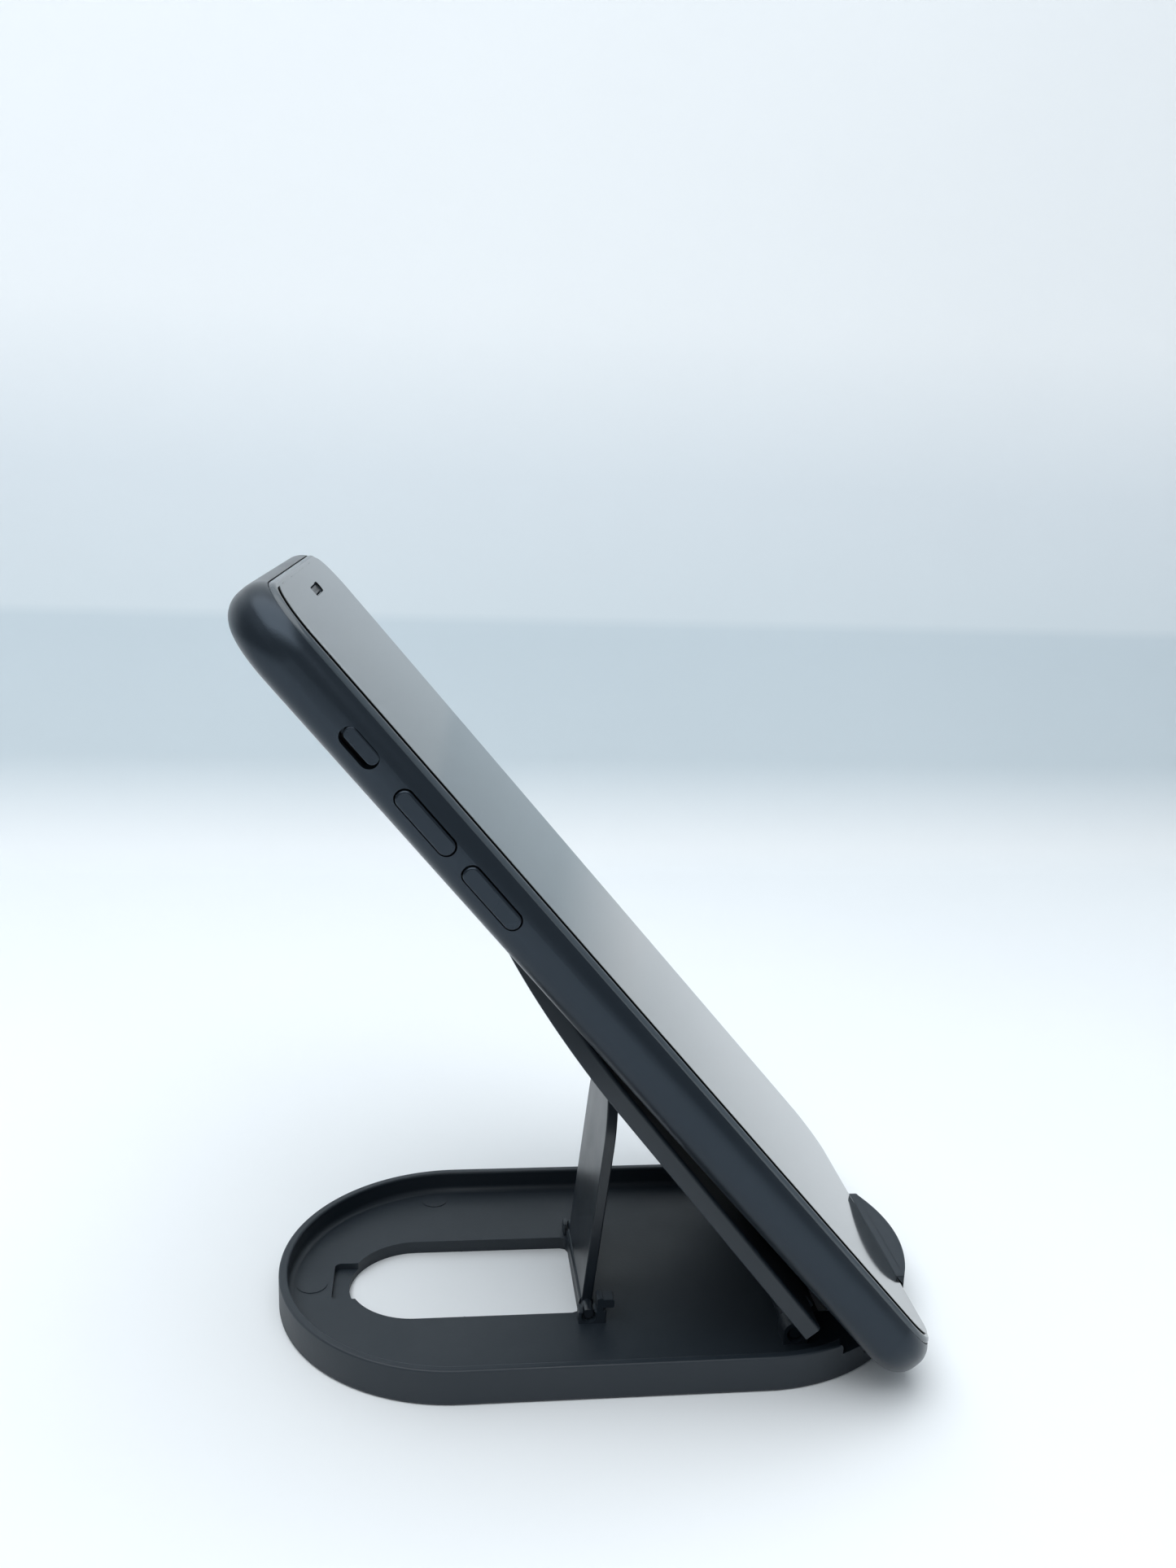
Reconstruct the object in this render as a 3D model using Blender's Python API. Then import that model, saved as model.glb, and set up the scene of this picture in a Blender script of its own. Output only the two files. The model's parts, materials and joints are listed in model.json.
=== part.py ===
"""A black smartphone leaning on a small folding desk stand.

Frame: metres, +Z up, origin at the centre of the stand's underside. +X runs along the stand towards
the lip that catches the phone, and the screen faces +X. +Y runs across the phone towards its right
side as its user sees it, so the volume buttons are on the -Y side.
"""
import math

import bmesh
import bpy
from mathutils import Matrix, Vector

MM = 0.001

# Stand: one pill-shaped outline serves the tray and the plate that folds onto it.
PILL_RADIUS = 26.75 * MM
PILL_STRAIGHT_HALF = 21.2 * MM
RIM_WALL = 1.3 * MM
FLOOR = 2.0 * MM
RIM_TOP = 5.4 * MM
LIP_TOP = 7.4 * MM
LIP_HALF_WIDTH = 11.8 * MM
LIP_REAR_X = 38.0 * MM
LIP_CLEARANCE = 0.3 * MM
MID_RIM_TOP = 3.8 * MM
MID_RIM_START_X = 32.2 * MM
LOW_RIM_TOP = 2.2 * MM
LOW_RIM_START_X = 36.0 * MM
FOOT_EDGE = 0.5 * MM

CUTOUT_HALF_WIDTH = 10.0 * MM
CUTOUT_FRONT_X = -3.3 * MM
CUTOUT_REAR_X = -37.6 * MM
CUTOUT_CORNER = 1.4 * MM
FINGER_RECESS_REAR_X = -40.0 * MM
FINGER_RECESS_HALF_WIDTH = 4.6 * MM
FINGER_RECESS_FLOOR = 1.0 * MM

# Support leg, hinged at the cut-out's front end.
LEG_AXIS = Vector((-2.4, 0.0, 3.2)) * MM
LEG_ANGLE = math.radians(95.6)
LEG_HALF_WIDTH = 9.6 * MM
LEG_THICKNESS = 1.6 * MM
LEG_LENGTH = 34.8 * MM
LEG_TAB_LENGTH = 36.5 * MM
LEG_TAB_HALF_WIDTH = 4.2 * MM
LEG_TAB_THICKNESS = 1.0 * MM
LEG_BARREL_RADIUS = 1.1 * MM
LEG_PIN_RADIUS = 0.8 * MM
LEG_PIN_HALF_LENGTH = 12.2 * MM
CLIP_INNER_Y = 10.6 * MM
CLIP_OUTER_Y = 12.8 * MM
CLIP_REAR = 1.5 * MM
CLIP_FRONT = 2.6 * MM
CLIP_TOP = 3.9 * MM
CLIP_NECK_REAR = 1.2 * MM
CLIP_ARM_FRONT = 3.7 * MM
CLIP_ARM_BOTTOM = 4.5 * MM
CLIP_ARM_TOP = 6.0 * MM

# Back plate, hinged near the lip.
PLATE_AXIS = Vector((26.8, 0.0, 3.6)) * MM
PLATE_ANGLE = math.radians(51.5)
PLATE_RIM_Z = 5.6 * MM
PLATE_TOP_Z = 8.2 * MM
PLATE_SKIN = 1.2 * MM
PLATE_APEX_X = -48.0 * MM
PLATE_FRONT_X = 22.8 * MM
PLATE_EDGE = 0.6 * MM
TONGUE_HALF_WIDTH = 15.6 * MM
TONGUE_REAR_X = 19.5 * MM
TONGUE_FRONT_X = 27.4 * MM
TONGUE_BOTTOM_Z = 4.4 * MM
BARREL_RADIUS = 1.4 * MM
BARREL_PIN_RADIUS = 1.0 * MM
BARREL_PIN_HALF_LENGTH = 19.0 * MM
LUG_INNER_Y = 16.2 * MM
LUG_OUTER_Y = 19.4 * MM
LUG_HALF_LENGTH = 1.8 * MM
LUG_TOP = 5.4 * MM
PIN_CLEARANCE = 0.3 * MM

# Phone. It is modelled upright on its own origin, the middle of its lower front edge: its back is at
# -X, its front at X = 0, and it stands up along Z. PHONE_FOOT and PHONE_SLOPE then lean it back.
PHONE_FOOT = Vector((45.1, 0.85, 5.9)) * MM
PHONE_SLOPE = math.radians(49.2)
PHONE_LENGTH = 138.4 * MM
PHONE_WIDTH = 67.3 * MM
PHONE_THICKNESS = 7.6 * MM
CORNER = 9.5 * MM
BACK_ROUND = 3.6 * MM
FRONT_ROUND = 3.2 * MM
GLASS_INSET = 1.4 * MM
GLASS_THICKNESS = 1.1 * MM
GLASS_SEAM = 0.15 * MM
RECESS_FLOOR_X = -2.0 * MM
CAVITY_INSET = 2.7 * MM
CAVITY_BACK_X = -6.4 * MM
PROTECTOR_INSET = 2.4 * MM
PROTECTOR_GAP = 0.1 * MM
PROTECTOR_THICKNESS = 0.3 * MM
EARPIECE_Z = 132.7 * MM
EARPIECE_WIDTH = 9.6 * MM
EARPIECE_HEIGHT = 1.4 * MM

# Side controls.
KEY_X = -4.05 * MM
KEY_LENGTH = 9.6 * MM
KEY_WIDTH = 2.2 * MM
KEY_GAP = 0.2 * MM
KEY_PROUD = 0.3 * MM
VOLUME_UP_Z = 105.0 * MM
VOLUME_DOWN_Z = 92.9 * MM
RING_SWITCH_Z = 116.6 * MM
RING_SLOT_LENGTH = 5.8 * MM
RING_SLOT_WIDTH = 2.5 * MM
RING_LEVER_WIDTH = 1.7 * MM
RING_LEVER_OFFSET = 0.35 * MM
FLANGE_THICKNESS = 0.5 * MM
SIM_Z = 72.0 * MM
SIM_FACE_LENGTH = 14.6 * MM
SIM_FACE_WIDTH = 2.0 * MM
CAMERA_Y = 22.4 * MM
CAMERA_Z = 127.2 * MM
CAMERA_HOLE_RADIUS = 4.3 * MM
CAMERA_RING_RADIUS = 4.1 * MM
CAMERA_RING_BORE = 3.1 * MM
CAMERA_BUMP = 0.6 * MM
FLASH_Y = 14.2 * MM
FLASH_RADIUS = 1.7 * MM
PORT_X = -3.9 * MM
PORT_HALF_WIDTH = 4.5 * MM
PORT_HEIGHT = 2.6 * MM
PORT_SCREW_Y = 7.2 * MM
SOUND_HOLE_RADIUS = 0.6 * MM
SOUND_HOLE_PITCH = 2.1 * MM
SOUND_HOLES = 5

# Colours are linear; the roughness and metallic values are the finishes' own.
FINISHES = {
    "stand_plastic": ((0.030, 0.036, 0.044), 0.48, 0.0),
    "phone_aluminium": ((0.018, 0.022, 0.030), 0.42, 0.6),
    "key_aluminium": ((0.020, 0.024, 0.032), 0.38, 0.6),
    "cover_glass": ((0.008, 0.010, 0.012), 0.06, 0.0),
    "clear_film": ((0.60, 0.64, 0.66), 0.08, 0.0),
    "display": ((0.010, 0.012, 0.014), 0.20, 0.0),
    "steel_sheet": ((0.50, 0.50, 0.49), 0.35, 1.0),
    "battery_wrap": ((0.030, 0.030, 0.032), 0.50, 0.0),
    "circuit_board": ((0.010, 0.040, 0.022), 0.45, 0.0),
    "component_black": ((0.015, 0.015, 0.016), 0.40, 0.0),
    "fine_mesh": ((0.035, 0.036, 0.038), 0.45, 0.8),
    "gold_contact": ((0.68, 0.46, 0.18), 0.30, 1.0),
    "flash_lens": ((0.75, 0.72, 0.55), 0.15, 0.0),
    "camera_glass": ((0.006, 0.007, 0.010), 0.04, 0.0),
}


def clear_scene():
    """Remove whatever the scene holds."""
    for obj in list(bpy.data.objects):
        bpy.data.objects.remove(obj, do_unlink=True)


def make_collection(name):
    """Return a new collection in the scene."""
    collection = bpy.data.collections.new(name)
    bpy.context.scene.collection.children.link(collection)
    return collection


def make_materials():
    """Return one Principled material for each finish."""
    materials = {}
    for name, (colour, roughness, metallic) in FINISHES.items():
        material = bpy.data.materials.new(name)
        material.use_nodes = True
        shader = material.node_tree.nodes["Principled BSDF"]
        shader.inputs["Base Color"].default_value = (*colour, 1.0)
        shader.inputs["Roughness"].default_value = roughness
        shader.inputs["Metallic"].default_value = metallic
        materials[name] = material
    return materials


clear_scene()
PARTS = make_collection("payment_phone_on_stand")
CUTTERS = make_collection("cutters")
MATERIALS = make_materials()
PHONE_POSE = bpy.data.objects.new("phone_pose", None)
PARTS.objects.link(PHONE_POSE)


def face_edges(bm, axis, value):
    """Return the edges whose two ends lie at one value of one axis."""
    return [e for e in bm.edges if all(abs(v.co[axis] - value) < 1e-7 for v in e.verts)]


def block_mesh(size, axis=0, corner=0.0, corner_segments=5, low_edge=0.0, high_edge=0.0, edge_segments=2):
    """Return a bmesh box, with its four edges along one axis rounded, and its two rims too."""
    bm = bmesh.new()
    bmesh.ops.create_cube(bm, size=1.0)
    bmesh.ops.scale(bm, vec=size, verts=bm.verts)
    if corner:
        along = [e for e in bm.edges if abs(e.verts[0].co[axis] - e.verts[1].co[axis]) > size[axis] * 0.9]
        bmesh.ops.bevel(bm, geom=along, offset=corner, segments=corner_segments, profile=0.5, affect="EDGES")
        bmesh.ops.remove_doubles(bm, verts=bm.verts, dist=1e-6)
        bmesh.ops.dissolve_degenerate(bm, edges=bm.edges, dist=1e-6)
    for sign, offset in ((-1, low_edge), (1, high_edge)):
        if offset:
            rim = face_edges(bm, axis, sign * size[axis] / 2)
            bmesh.ops.bevel(bm, geom=rim, offset=offset, segments=edge_segments, profile=0.5, affect="EDGES")
    return bm


def cylinder_mesh(radius, depth, axis=2, segments=24):
    """Return a bmesh cylinder along one axis."""
    bm = bmesh.new()
    turns = {0: Matrix.Rotation(math.pi / 2, 4, "Y"), 1: Matrix.Rotation(math.pi / 2, 4, "X"), 2: Matrix()}
    bmesh.ops.create_cone(
        bm, cap_ends=True, segments=segments, radius1=radius, radius2=radius, depth=depth, matrix=turns[axis]
    )
    return bm


def add_object(name, bm, collection, place, parent=None, material=None):
    """Turn a bmesh into an object at a place."""
    mesh = bpy.data.meshes.new(name)
    bm.to_mesh(mesh)
    bm.free()
    mesh.shade_smooth()
    mesh.set_sharp_from_angle(angle=math.radians(35))
    obj = bpy.data.objects.new(name, mesh)
    collection.objects.link(obj)
    obj.location = place
    obj.parent = parent
    if material:
        mesh.materials.append(MATERIALS[material])
    return obj


def part(name, bm, place, material, parent=None):
    """Add a piece of the object."""
    return add_object(name, bm, PARTS, place, parent, material)


def cutter(name, bm, place, parent=None):
    """Add a shape that only cuts or joins."""
    obj = add_object(name, bm, CUTTERS, place, parent)
    obj.hide_render = True
    obj.display_type = "WIRE"
    return obj


def combine(target, tool, operation="DIFFERENCE", solver="EXACT"):
    """Cut a tool from a target, or join it on."""
    modifier = target.modifiers.new(tool.name, "BOOLEAN")
    modifier.operation = operation
    modifier.object = tool
    modifier.solver = solver


def span(low, high):
    """Return the middle and the length of a stretch."""
    return (low + high) / 2, high - low


def box_between(low, high, **rounding):
    """Return a bmesh box and its centre from two opposite corners."""
    centre = (Vector(low) + Vector(high)) / 2
    size = Vector(high) - Vector(low)
    return block_mesh(size, **rounding), centre


def phone_part(name, low, high, material, **rounding):
    """Add a box-like piece of the phone, given in the phone's own frame."""
    bm, centre = box_between(low, high, **rounding)
    return part(name, bm, centre, material, PHONE_POSE)


def phone_cutter(name, low, high, **rounding):
    """Add a box-like cutter in the phone's own frame."""
    bm, centre = box_between(low, high, **rounding)
    return cutter(name, bm, centre, PHONE_POSE)


def pill_mesh(rear_x, front_x, half_width, z_low, z_high, segments=10, **edges):
    """Return a pill-shaped bmesh slab lying flat, and its centre."""
    x, length = span(rear_x, front_x)
    z, height = span(z_low, z_high)
    bm = block_mesh(
        (length, 2 * half_width, height), axis=2, corner=half_width, corner_segments=segments, **edges
    )
    return bm, Vector((x, 0, z))


# ---- stand -------------------------------------------------------------------------------------

def build_tray():
    """The tray: rim, lip, cut-out, recess, leg clips and plate lugs."""
    end_x = PILL_STRAIGHT_HALF + PILL_RADIUS
    bm, centre = pill_mesh(-end_x, end_x, PILL_RADIUS, 0.0, LIP_TOP, segments=12, low_edge=FOOT_EDGE,
                           edge_segments=1)
    tray = part("base_tray", bm, centre, "stand_plastic")
    inner_x = end_x - RIM_WALL
    bm, centre = pill_mesh(-inner_x, inner_x, PILL_RADIUS - RIM_WALL, FLOOR, LIP_TOP + FLOOR, segments=12)
    hollow = cutter("tray_hollow", bm, centre)
    bm, centre = box_between((LIP_REAR_X, -LIP_HALF_WIDTH, 0), (2 * end_x, LIP_HALF_WIDTH, 2 * LIP_TOP))
    combine(hollow, cutter("lip_block", bm, centre))
    combine(tray, hollow)
    reach = end_x * 1.1
    bm, centre = box_between((-reach, -reach, RIM_TOP), (MID_RIM_START_X + MM, reach, LIP_TOP * 2))
    combine(tray, cutter("rim_trim", bm, centre))
    for side, name in ((-1, "left"), (1, "right")):
        near, far = side_span(side, LIP_HALF_WIDTH, reach)
        for start_x, top in ((MID_RIM_START_X, MID_RIM_TOP), (LOW_RIM_START_X, LOW_RIM_TOP)):
            bm, centre = box_between((start_x, near, top), (reach, far, LIP_TOP * 2))
            combine(tray, cutter(f"rim_drop_{name}", bm, centre))
    slope_lip(tray)
    cut_out_floor(tray)
    for side in (-1, 1):
        add_clip(tray, side)
        add_lug(tray, side)
    return tray


def slope_lip(tray):
    """Slope the lip's inner side, so that the phone's foot stands in it with a clearance."""
    bm, centre = box_between(
        (-2 * PHONE_THICKNESS, -LIP_HALF_WIDTH - MM, -LIP_CLEARANCE),
        (LIP_CLEARANCE, LIP_HALF_WIDTH + MM, 2 * LIP_TOP),
    )
    combine(tray, cutter("lip_room", bm, centre, PHONE_POSE))


def cut_out_floor(tray):
    """The floor's opening, round at the rear and square at the front, and its finger recess."""
    bm, centre = pill_mesh(
        CUTOUT_REAR_X, CUTOUT_FRONT_X + CUTOUT_HALF_WIDTH, CUTOUT_HALF_WIDTH, -FLOOR, FLOOR * 2, segments=8
    )
    opening = cutter("floor_opening", bm, centre)
    middle_x = (CUTOUT_REAR_X + CUTOUT_FRONT_X) / 2
    bm, centre = box_between(
        (middle_x, -PILL_RADIUS, -FLOOR * 2), (CUTOUT_FRONT_X + PILL_RADIUS, PILL_RADIUS, FLOOR * 3)
    )
    combine(opening, cutter("floor_opening_trim", bm, centre))
    combine(tray, opening)
    bm, centre = box_between(
        (middle_x - MM, -CUTOUT_HALF_WIDTH, -FLOOR), (CUTOUT_FRONT_X, CUTOUT_HALF_WIDTH, FLOOR * 2),
        axis=2, corner=CUTOUT_CORNER, corner_segments=2,
    )
    combine(tray, cutter("floor_opening_front", bm, centre))
    bm, centre = box_between(
        (FINGER_RECESS_REAR_X, -FINGER_RECESS_HALF_WIDTH, FINGER_RECESS_FLOOR),
        (CUTOUT_REAR_X + 3 * MM, FINGER_RECESS_HALF_WIDTH, FLOOR * 2),
    )
    combine(tray, cutter("finger_recess", bm, centre))


def side_span(side, inner, outer):
    """Return a stretch of Y on one side, low end first."""
    return sorted((side * inner, side * outer))


def add_clip(tray, side):
    """An open-topped clip that holds one of the leg's pins, with a neck and an arm in front of it."""
    name = "left" if side < 0 else "right"
    low_y, high_y = side_span(side, CLIP_INNER_Y, CLIP_OUTER_Y)
    bm, centre = box_between(
        (LEG_AXIS.x - CLIP_REAR, low_y, FLOOR / 2), (LEG_AXIS.x + CLIP_FRONT, high_y, CLIP_TOP)
    )
    combine(tray, cutter(f"leg_clip_{name}", bm, centre), "UNION")
    bm, centre = box_between(
        (LEG_AXIS.x + CLIP_NECK_REAR, low_y, FLOOR), (LEG_AXIS.x + CLIP_FRONT - MM / 2, high_y, CLIP_ARM_TOP)
    )
    combine(tray, cutter(f"leg_clip_neck_{name}", bm, centre), "UNION")
    bm, centre = box_between(
        (LEG_AXIS.x + CLIP_NECK_REAR + MM / 4, low_y, CLIP_ARM_BOTTOM),
        (LEG_AXIS.x + CLIP_ARM_FRONT, high_y, CLIP_ARM_TOP - MM / 5),
    )
    combine(tray, cutter(f"leg_clip_arm_{name}", bm, centre), "UNION")
    bore = cylinder_mesh(LEG_PIN_RADIUS + PIN_CLEARANCE, 4 * MM, axis=1, segments=16)
    place = Vector((LEG_AXIS.x, (low_y + high_y) / 2, LEG_AXIS.z))
    combine(tray, cutter(f"leg_clip_bore_{name}", bore, place))
    half_mouth = LEG_PIN_RADIUS
    bm, centre = box_between(
        (LEG_AXIS.x - half_mouth, low_y - MM, LEG_AXIS.z),
        (LEG_AXIS.x + half_mouth, high_y + MM, CLIP_TOP + MM),
    )
    combine(tray, cutter(f"leg_clip_mouth_{name}", bm, centre))


def add_lug(tray, side):
    """A lug with a bore for one of the back plate's pins."""
    name = "left" if side < 0 else "right"
    low_y, high_y = side_span(side, LUG_INNER_Y, LUG_OUTER_Y)
    bm, centre = box_between(
        (PLATE_AXIS.x - LUG_HALF_LENGTH, low_y, FLOOR / 2), (PLATE_AXIS.x + LUG_HALF_LENGTH, high_y, LUG_TOP)
    )
    combine(tray, cutter(f"plate_lug_{name}", bm, centre), "UNION")
    bore = cylinder_mesh(BARREL_PIN_RADIUS + PIN_CLEARANCE, 6 * MM, axis=1, segments=16)
    place = Vector((PLATE_AXIS.x, (low_y + high_y) / 2, PLATE_AXIS.z))
    combine(tray, cutter(f"plate_lug_bore_{name}", bore, place))


def hinged(name, bm, centre, axis, angle, material):
    """Add a piece modelled folded flat, with its origin on its hinge, then swung up."""
    bmesh.ops.translate(bm, vec=centre - axis, verts=bm.verts)
    obj = part(name, bm, axis, material)
    obj.rotation_euler.y = angle
    return obj


def hinged_cutter(name, bm, centre, owner, axis):
    """Add a cutter that turns with a hinged piece."""
    bmesh.ops.translate(bm, vec=centre - axis, verts=bm.verts)
    return cutter(name, bm, Vector(), owner)


def build_plate():
    """The back plate, modelled folded onto the tray and then swung up."""
    bm, centre = pill_mesh(
        PLATE_APEX_X, -PLATE_APEX_X, PILL_RADIUS, PLATE_RIM_Z, PLATE_TOP_Z, segments=12, high_edge=PLATE_EDGE
    )
    plate = hinged("backrest_plate", bm, centre, PLATE_AXIS, PLATE_ANGLE, "stand_plastic")
    inner_x = -PLATE_APEX_X - RIM_WALL
    bm, centre = pill_mesh(
        -inner_x, inner_x, PILL_RADIUS - RIM_WALL, PLATE_RIM_Z - FLOOR, PLATE_TOP_Z - PLATE_SKIN, segments=12
    )
    combine(plate, hinged_cutter("plate_hollow", bm, centre, plate, PLATE_AXIS))
    reach = 2 * PILL_RADIUS
    bm, centre = box_between((PLATE_FRONT_X, -reach, 0), (PLATE_FRONT_X + reach, reach, 3 * PLATE_TOP_Z))
    combine(plate, hinged_cutter("plate_trim", bm, centre, plate, PLATE_AXIS))
    bm, centre = box_between(
        (TONGUE_REAR_X, -TONGUE_HALF_WIDTH, TONGUE_BOTTOM_Z),
        (TONGUE_FRONT_X, TONGUE_HALF_WIDTH, PLATE_TOP_Z - PLATE_SKIN / 2),
    )
    combine(plate, hinged_cutter("plate_tongue", bm, centre, plate, PLATE_AXIS), "UNION")
    barrel = cylinder_mesh(BARREL_RADIUS, 2 * TONGUE_HALF_WIDTH - MM / 2, axis=1, segments=20)
    combine(plate, hinged_cutter("plate_barrel", barrel, PLATE_AXIS, plate, PLATE_AXIS), "UNION")
    pins = cylinder_mesh(BARREL_PIN_RADIUS, 2 * BARREL_PIN_HALF_LENGTH, axis=1, segments=16)
    combine(plate, hinged_cutter("plate_pins", pins, PLATE_AXIS, plate, PLATE_AXIS), "UNION")
    return plate


def build_leg():
    """The support leg, modelled lying in the cut-out and then swung up."""
    half = LEG_THICKNESS / 2
    z = LEG_AXIS.z
    bm, centre = pill_mesh(
        LEG_AXIS.x - LEG_LENGTH, LEG_AXIS.x + LEG_LENGTH, LEG_HALF_WIDTH, z - half, z + half, segments=8
    )
    leg = hinged("support_leg", bm, centre, LEG_AXIS, LEG_ANGLE, "stand_plastic")
    bm, centre = box_between(
        (LEG_AXIS.x, -LEG_LENGTH, z - 4 * half), (LEG_AXIS.x + 2 * LEG_LENGTH, LEG_LENGTH, z + 4 * half)
    )
    combine(leg, hinged_cutter("leg_trim", bm, centre, leg, LEG_AXIS))
    tab_half = LEG_TAB_THICKNESS / 2
    bm, centre = box_between(
        (LEG_AXIS.x - LEG_TAB_LENGTH, -LEG_TAB_HALF_WIDTH, z - tab_half),
        (LEG_AXIS.x - LEG_LENGTH + 3 * MM, LEG_TAB_HALF_WIDTH, z + tab_half),
    )
    combine(leg, hinged_cutter("leg_tab", bm, centre, leg, LEG_AXIS), "UNION")
    barrel = cylinder_mesh(LEG_BARREL_RADIUS, 2 * LEG_HALF_WIDTH - MM / 2, axis=1, segments=16)
    combine(leg, hinged_cutter("leg_barrel", barrel, LEG_AXIS, leg, LEG_AXIS), "UNION")
    pins = cylinder_mesh(LEG_PIN_RADIUS, 2 * LEG_PIN_HALF_LENGTH, axis=1, segments=12)
    combine(leg, hinged_cutter("leg_pins", pins, LEG_AXIS, leg, LEG_AXIS), "UNION")
    return leg


# ---- phone, in its own upright frame ------------------------------------------------------------

def slab_corners(inset, back_x, front_x):
    """Return the two corners of a slab inset from the phone's outline."""
    half = PHONE_WIDTH / 2 - inset
    return (back_x, -half, inset), (front_x, half, PHONE_LENGTH - inset)


def cut_housing(housing, tool):
    """Cut the housing, whose thin rim edges the exact solver leaves open."""
    combine(housing, tool, solver="MANIFOLD")


def build_housing():
    """The aluminium body: a hollow slab, open at the front, with its ports and slots."""
    low, high = slab_corners(0.0, -PHONE_THICKNESS, 0.0)
    housing = phone_part(
        "phone_housing", low, high, "phone_aluminium", corner=CORNER, corner_segments=5,
        low_edge=BACK_ROUND, high_edge=FRONT_ROUND, edge_segments=4,
    )
    seam_inset = GLASS_INSET - GLASS_SEAM
    low, high = slab_corners(seam_inset, RECESS_FLOOR_X, 3 * MM)
    cut_housing(housing, phone_cutter("glass_recess", low, high, corner=CORNER - seam_inset))
    low, high = slab_corners(CAVITY_INSET, CAVITY_BACK_X, RECESS_FLOOR_X + MM)
    cut_housing(housing, phone_cutter("inner_cavity", low, high, corner=CORNER - CAVITY_INSET))
    cut_key_slots(housing)
    cut_back(housing)
    cut_bottom(housing)
    return housing


def wall_slot(name, side, length, width, z):
    """Return a cutter through one side wall."""
    low_y, high_y = side_span(side, PHONE_WIDTH / 2 - 4 * MM, PHONE_WIDTH / 2 + 2 * MM)
    low = (KEY_X - width / 2, low_y, z - length / 2)
    high = (KEY_X + width / 2, high_y, z + length / 2)
    return phone_cutter(name, low, high, axis=1, corner=width * 0.45, corner_segments=3)


def cut_key_slots(housing):
    """Slots for the three keys, the ring switch and the card tray."""
    length = KEY_LENGTH + 2 * KEY_GAP
    width = KEY_WIDTH + 2 * KEY_GAP
    cut_housing(housing, wall_slot("volume_up_slot", -1, length, width, VOLUME_UP_Z))
    cut_housing(housing, wall_slot("volume_down_slot", -1, length, width, VOLUME_DOWN_Z))
    cut_housing(housing, wall_slot("side_key_slot", 1, length, width, VOLUME_UP_Z))
    cut_housing(housing, wall_slot("ring_slot", -1, RING_SLOT_LENGTH, RING_SLOT_WIDTH, RING_SWITCH_Z))
    length = SIM_FACE_LENGTH + 2 * KEY_GAP
    width = SIM_FACE_WIDTH + 2 * KEY_GAP
    cut_housing(housing, wall_slot("sim_slot", 1, length, width, SIM_Z))


def cut_back(housing):
    """Round holes in the back for the camera and its flash."""
    depth = 6 * MM
    for name, radius, y in (
        ("camera_hole", CAMERA_HOLE_RADIUS, CAMERA_Y), ("flash_hole", FLASH_RADIUS + KEY_GAP, FLASH_Y)
    ):
        bm = cylinder_mesh(radius, depth, axis=0)
        place = Vector((CAVITY_BACK_X - depth / 2 + MM / 2, y, CAMERA_Z))
        cut_housing(housing, cutter(name, bm, place, PHONE_POSE))


def cut_bottom(housing):
    """The charging port, two screw holes and two rows of sound holes in the lower end."""
    half = PORT_HEIGHT / 2 + 2 * KEY_GAP
    low = (PORT_X - half, -PORT_HALF_WIDTH - 2 * KEY_GAP, -2 * MM)
    high = (PORT_X + half, PORT_HALF_WIDTH + 2 * KEY_GAP, CAVITY_INSET + 2 * MM)
    cut_housing(housing, phone_cutter("port_slot", low, high, axis=2, corner=half * 0.95, corner_segments=4))
    holes = bmesh.new()
    for side in (-1, 1):
        for step in range(SOUND_HOLES):
            y = side * (PORT_SCREW_Y + 2.6 * MM + step * SOUND_HOLE_PITCH)
            place = Matrix.Translation((0, y, 0))
            bmesh.ops.create_cone(
                holes, cap_ends=True, segments=8, radius1=SOUND_HOLE_RADIUS, radius2=SOUND_HOLE_RADIUS,
                depth=8 * MM, matrix=place,
            )
        place = Matrix.Translation((0, side * PORT_SCREW_Y, 0))
        bmesh.ops.create_cone(
            holes, cap_ends=True, segments=12, radius1=1.0 * MM, radius2=1.0 * MM, depth=8 * MM, matrix=place
        )
    cut_housing(housing, cutter("bottom_holes", holes, Vector((PORT_X, 0, 0)), PHONE_POSE))


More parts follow.
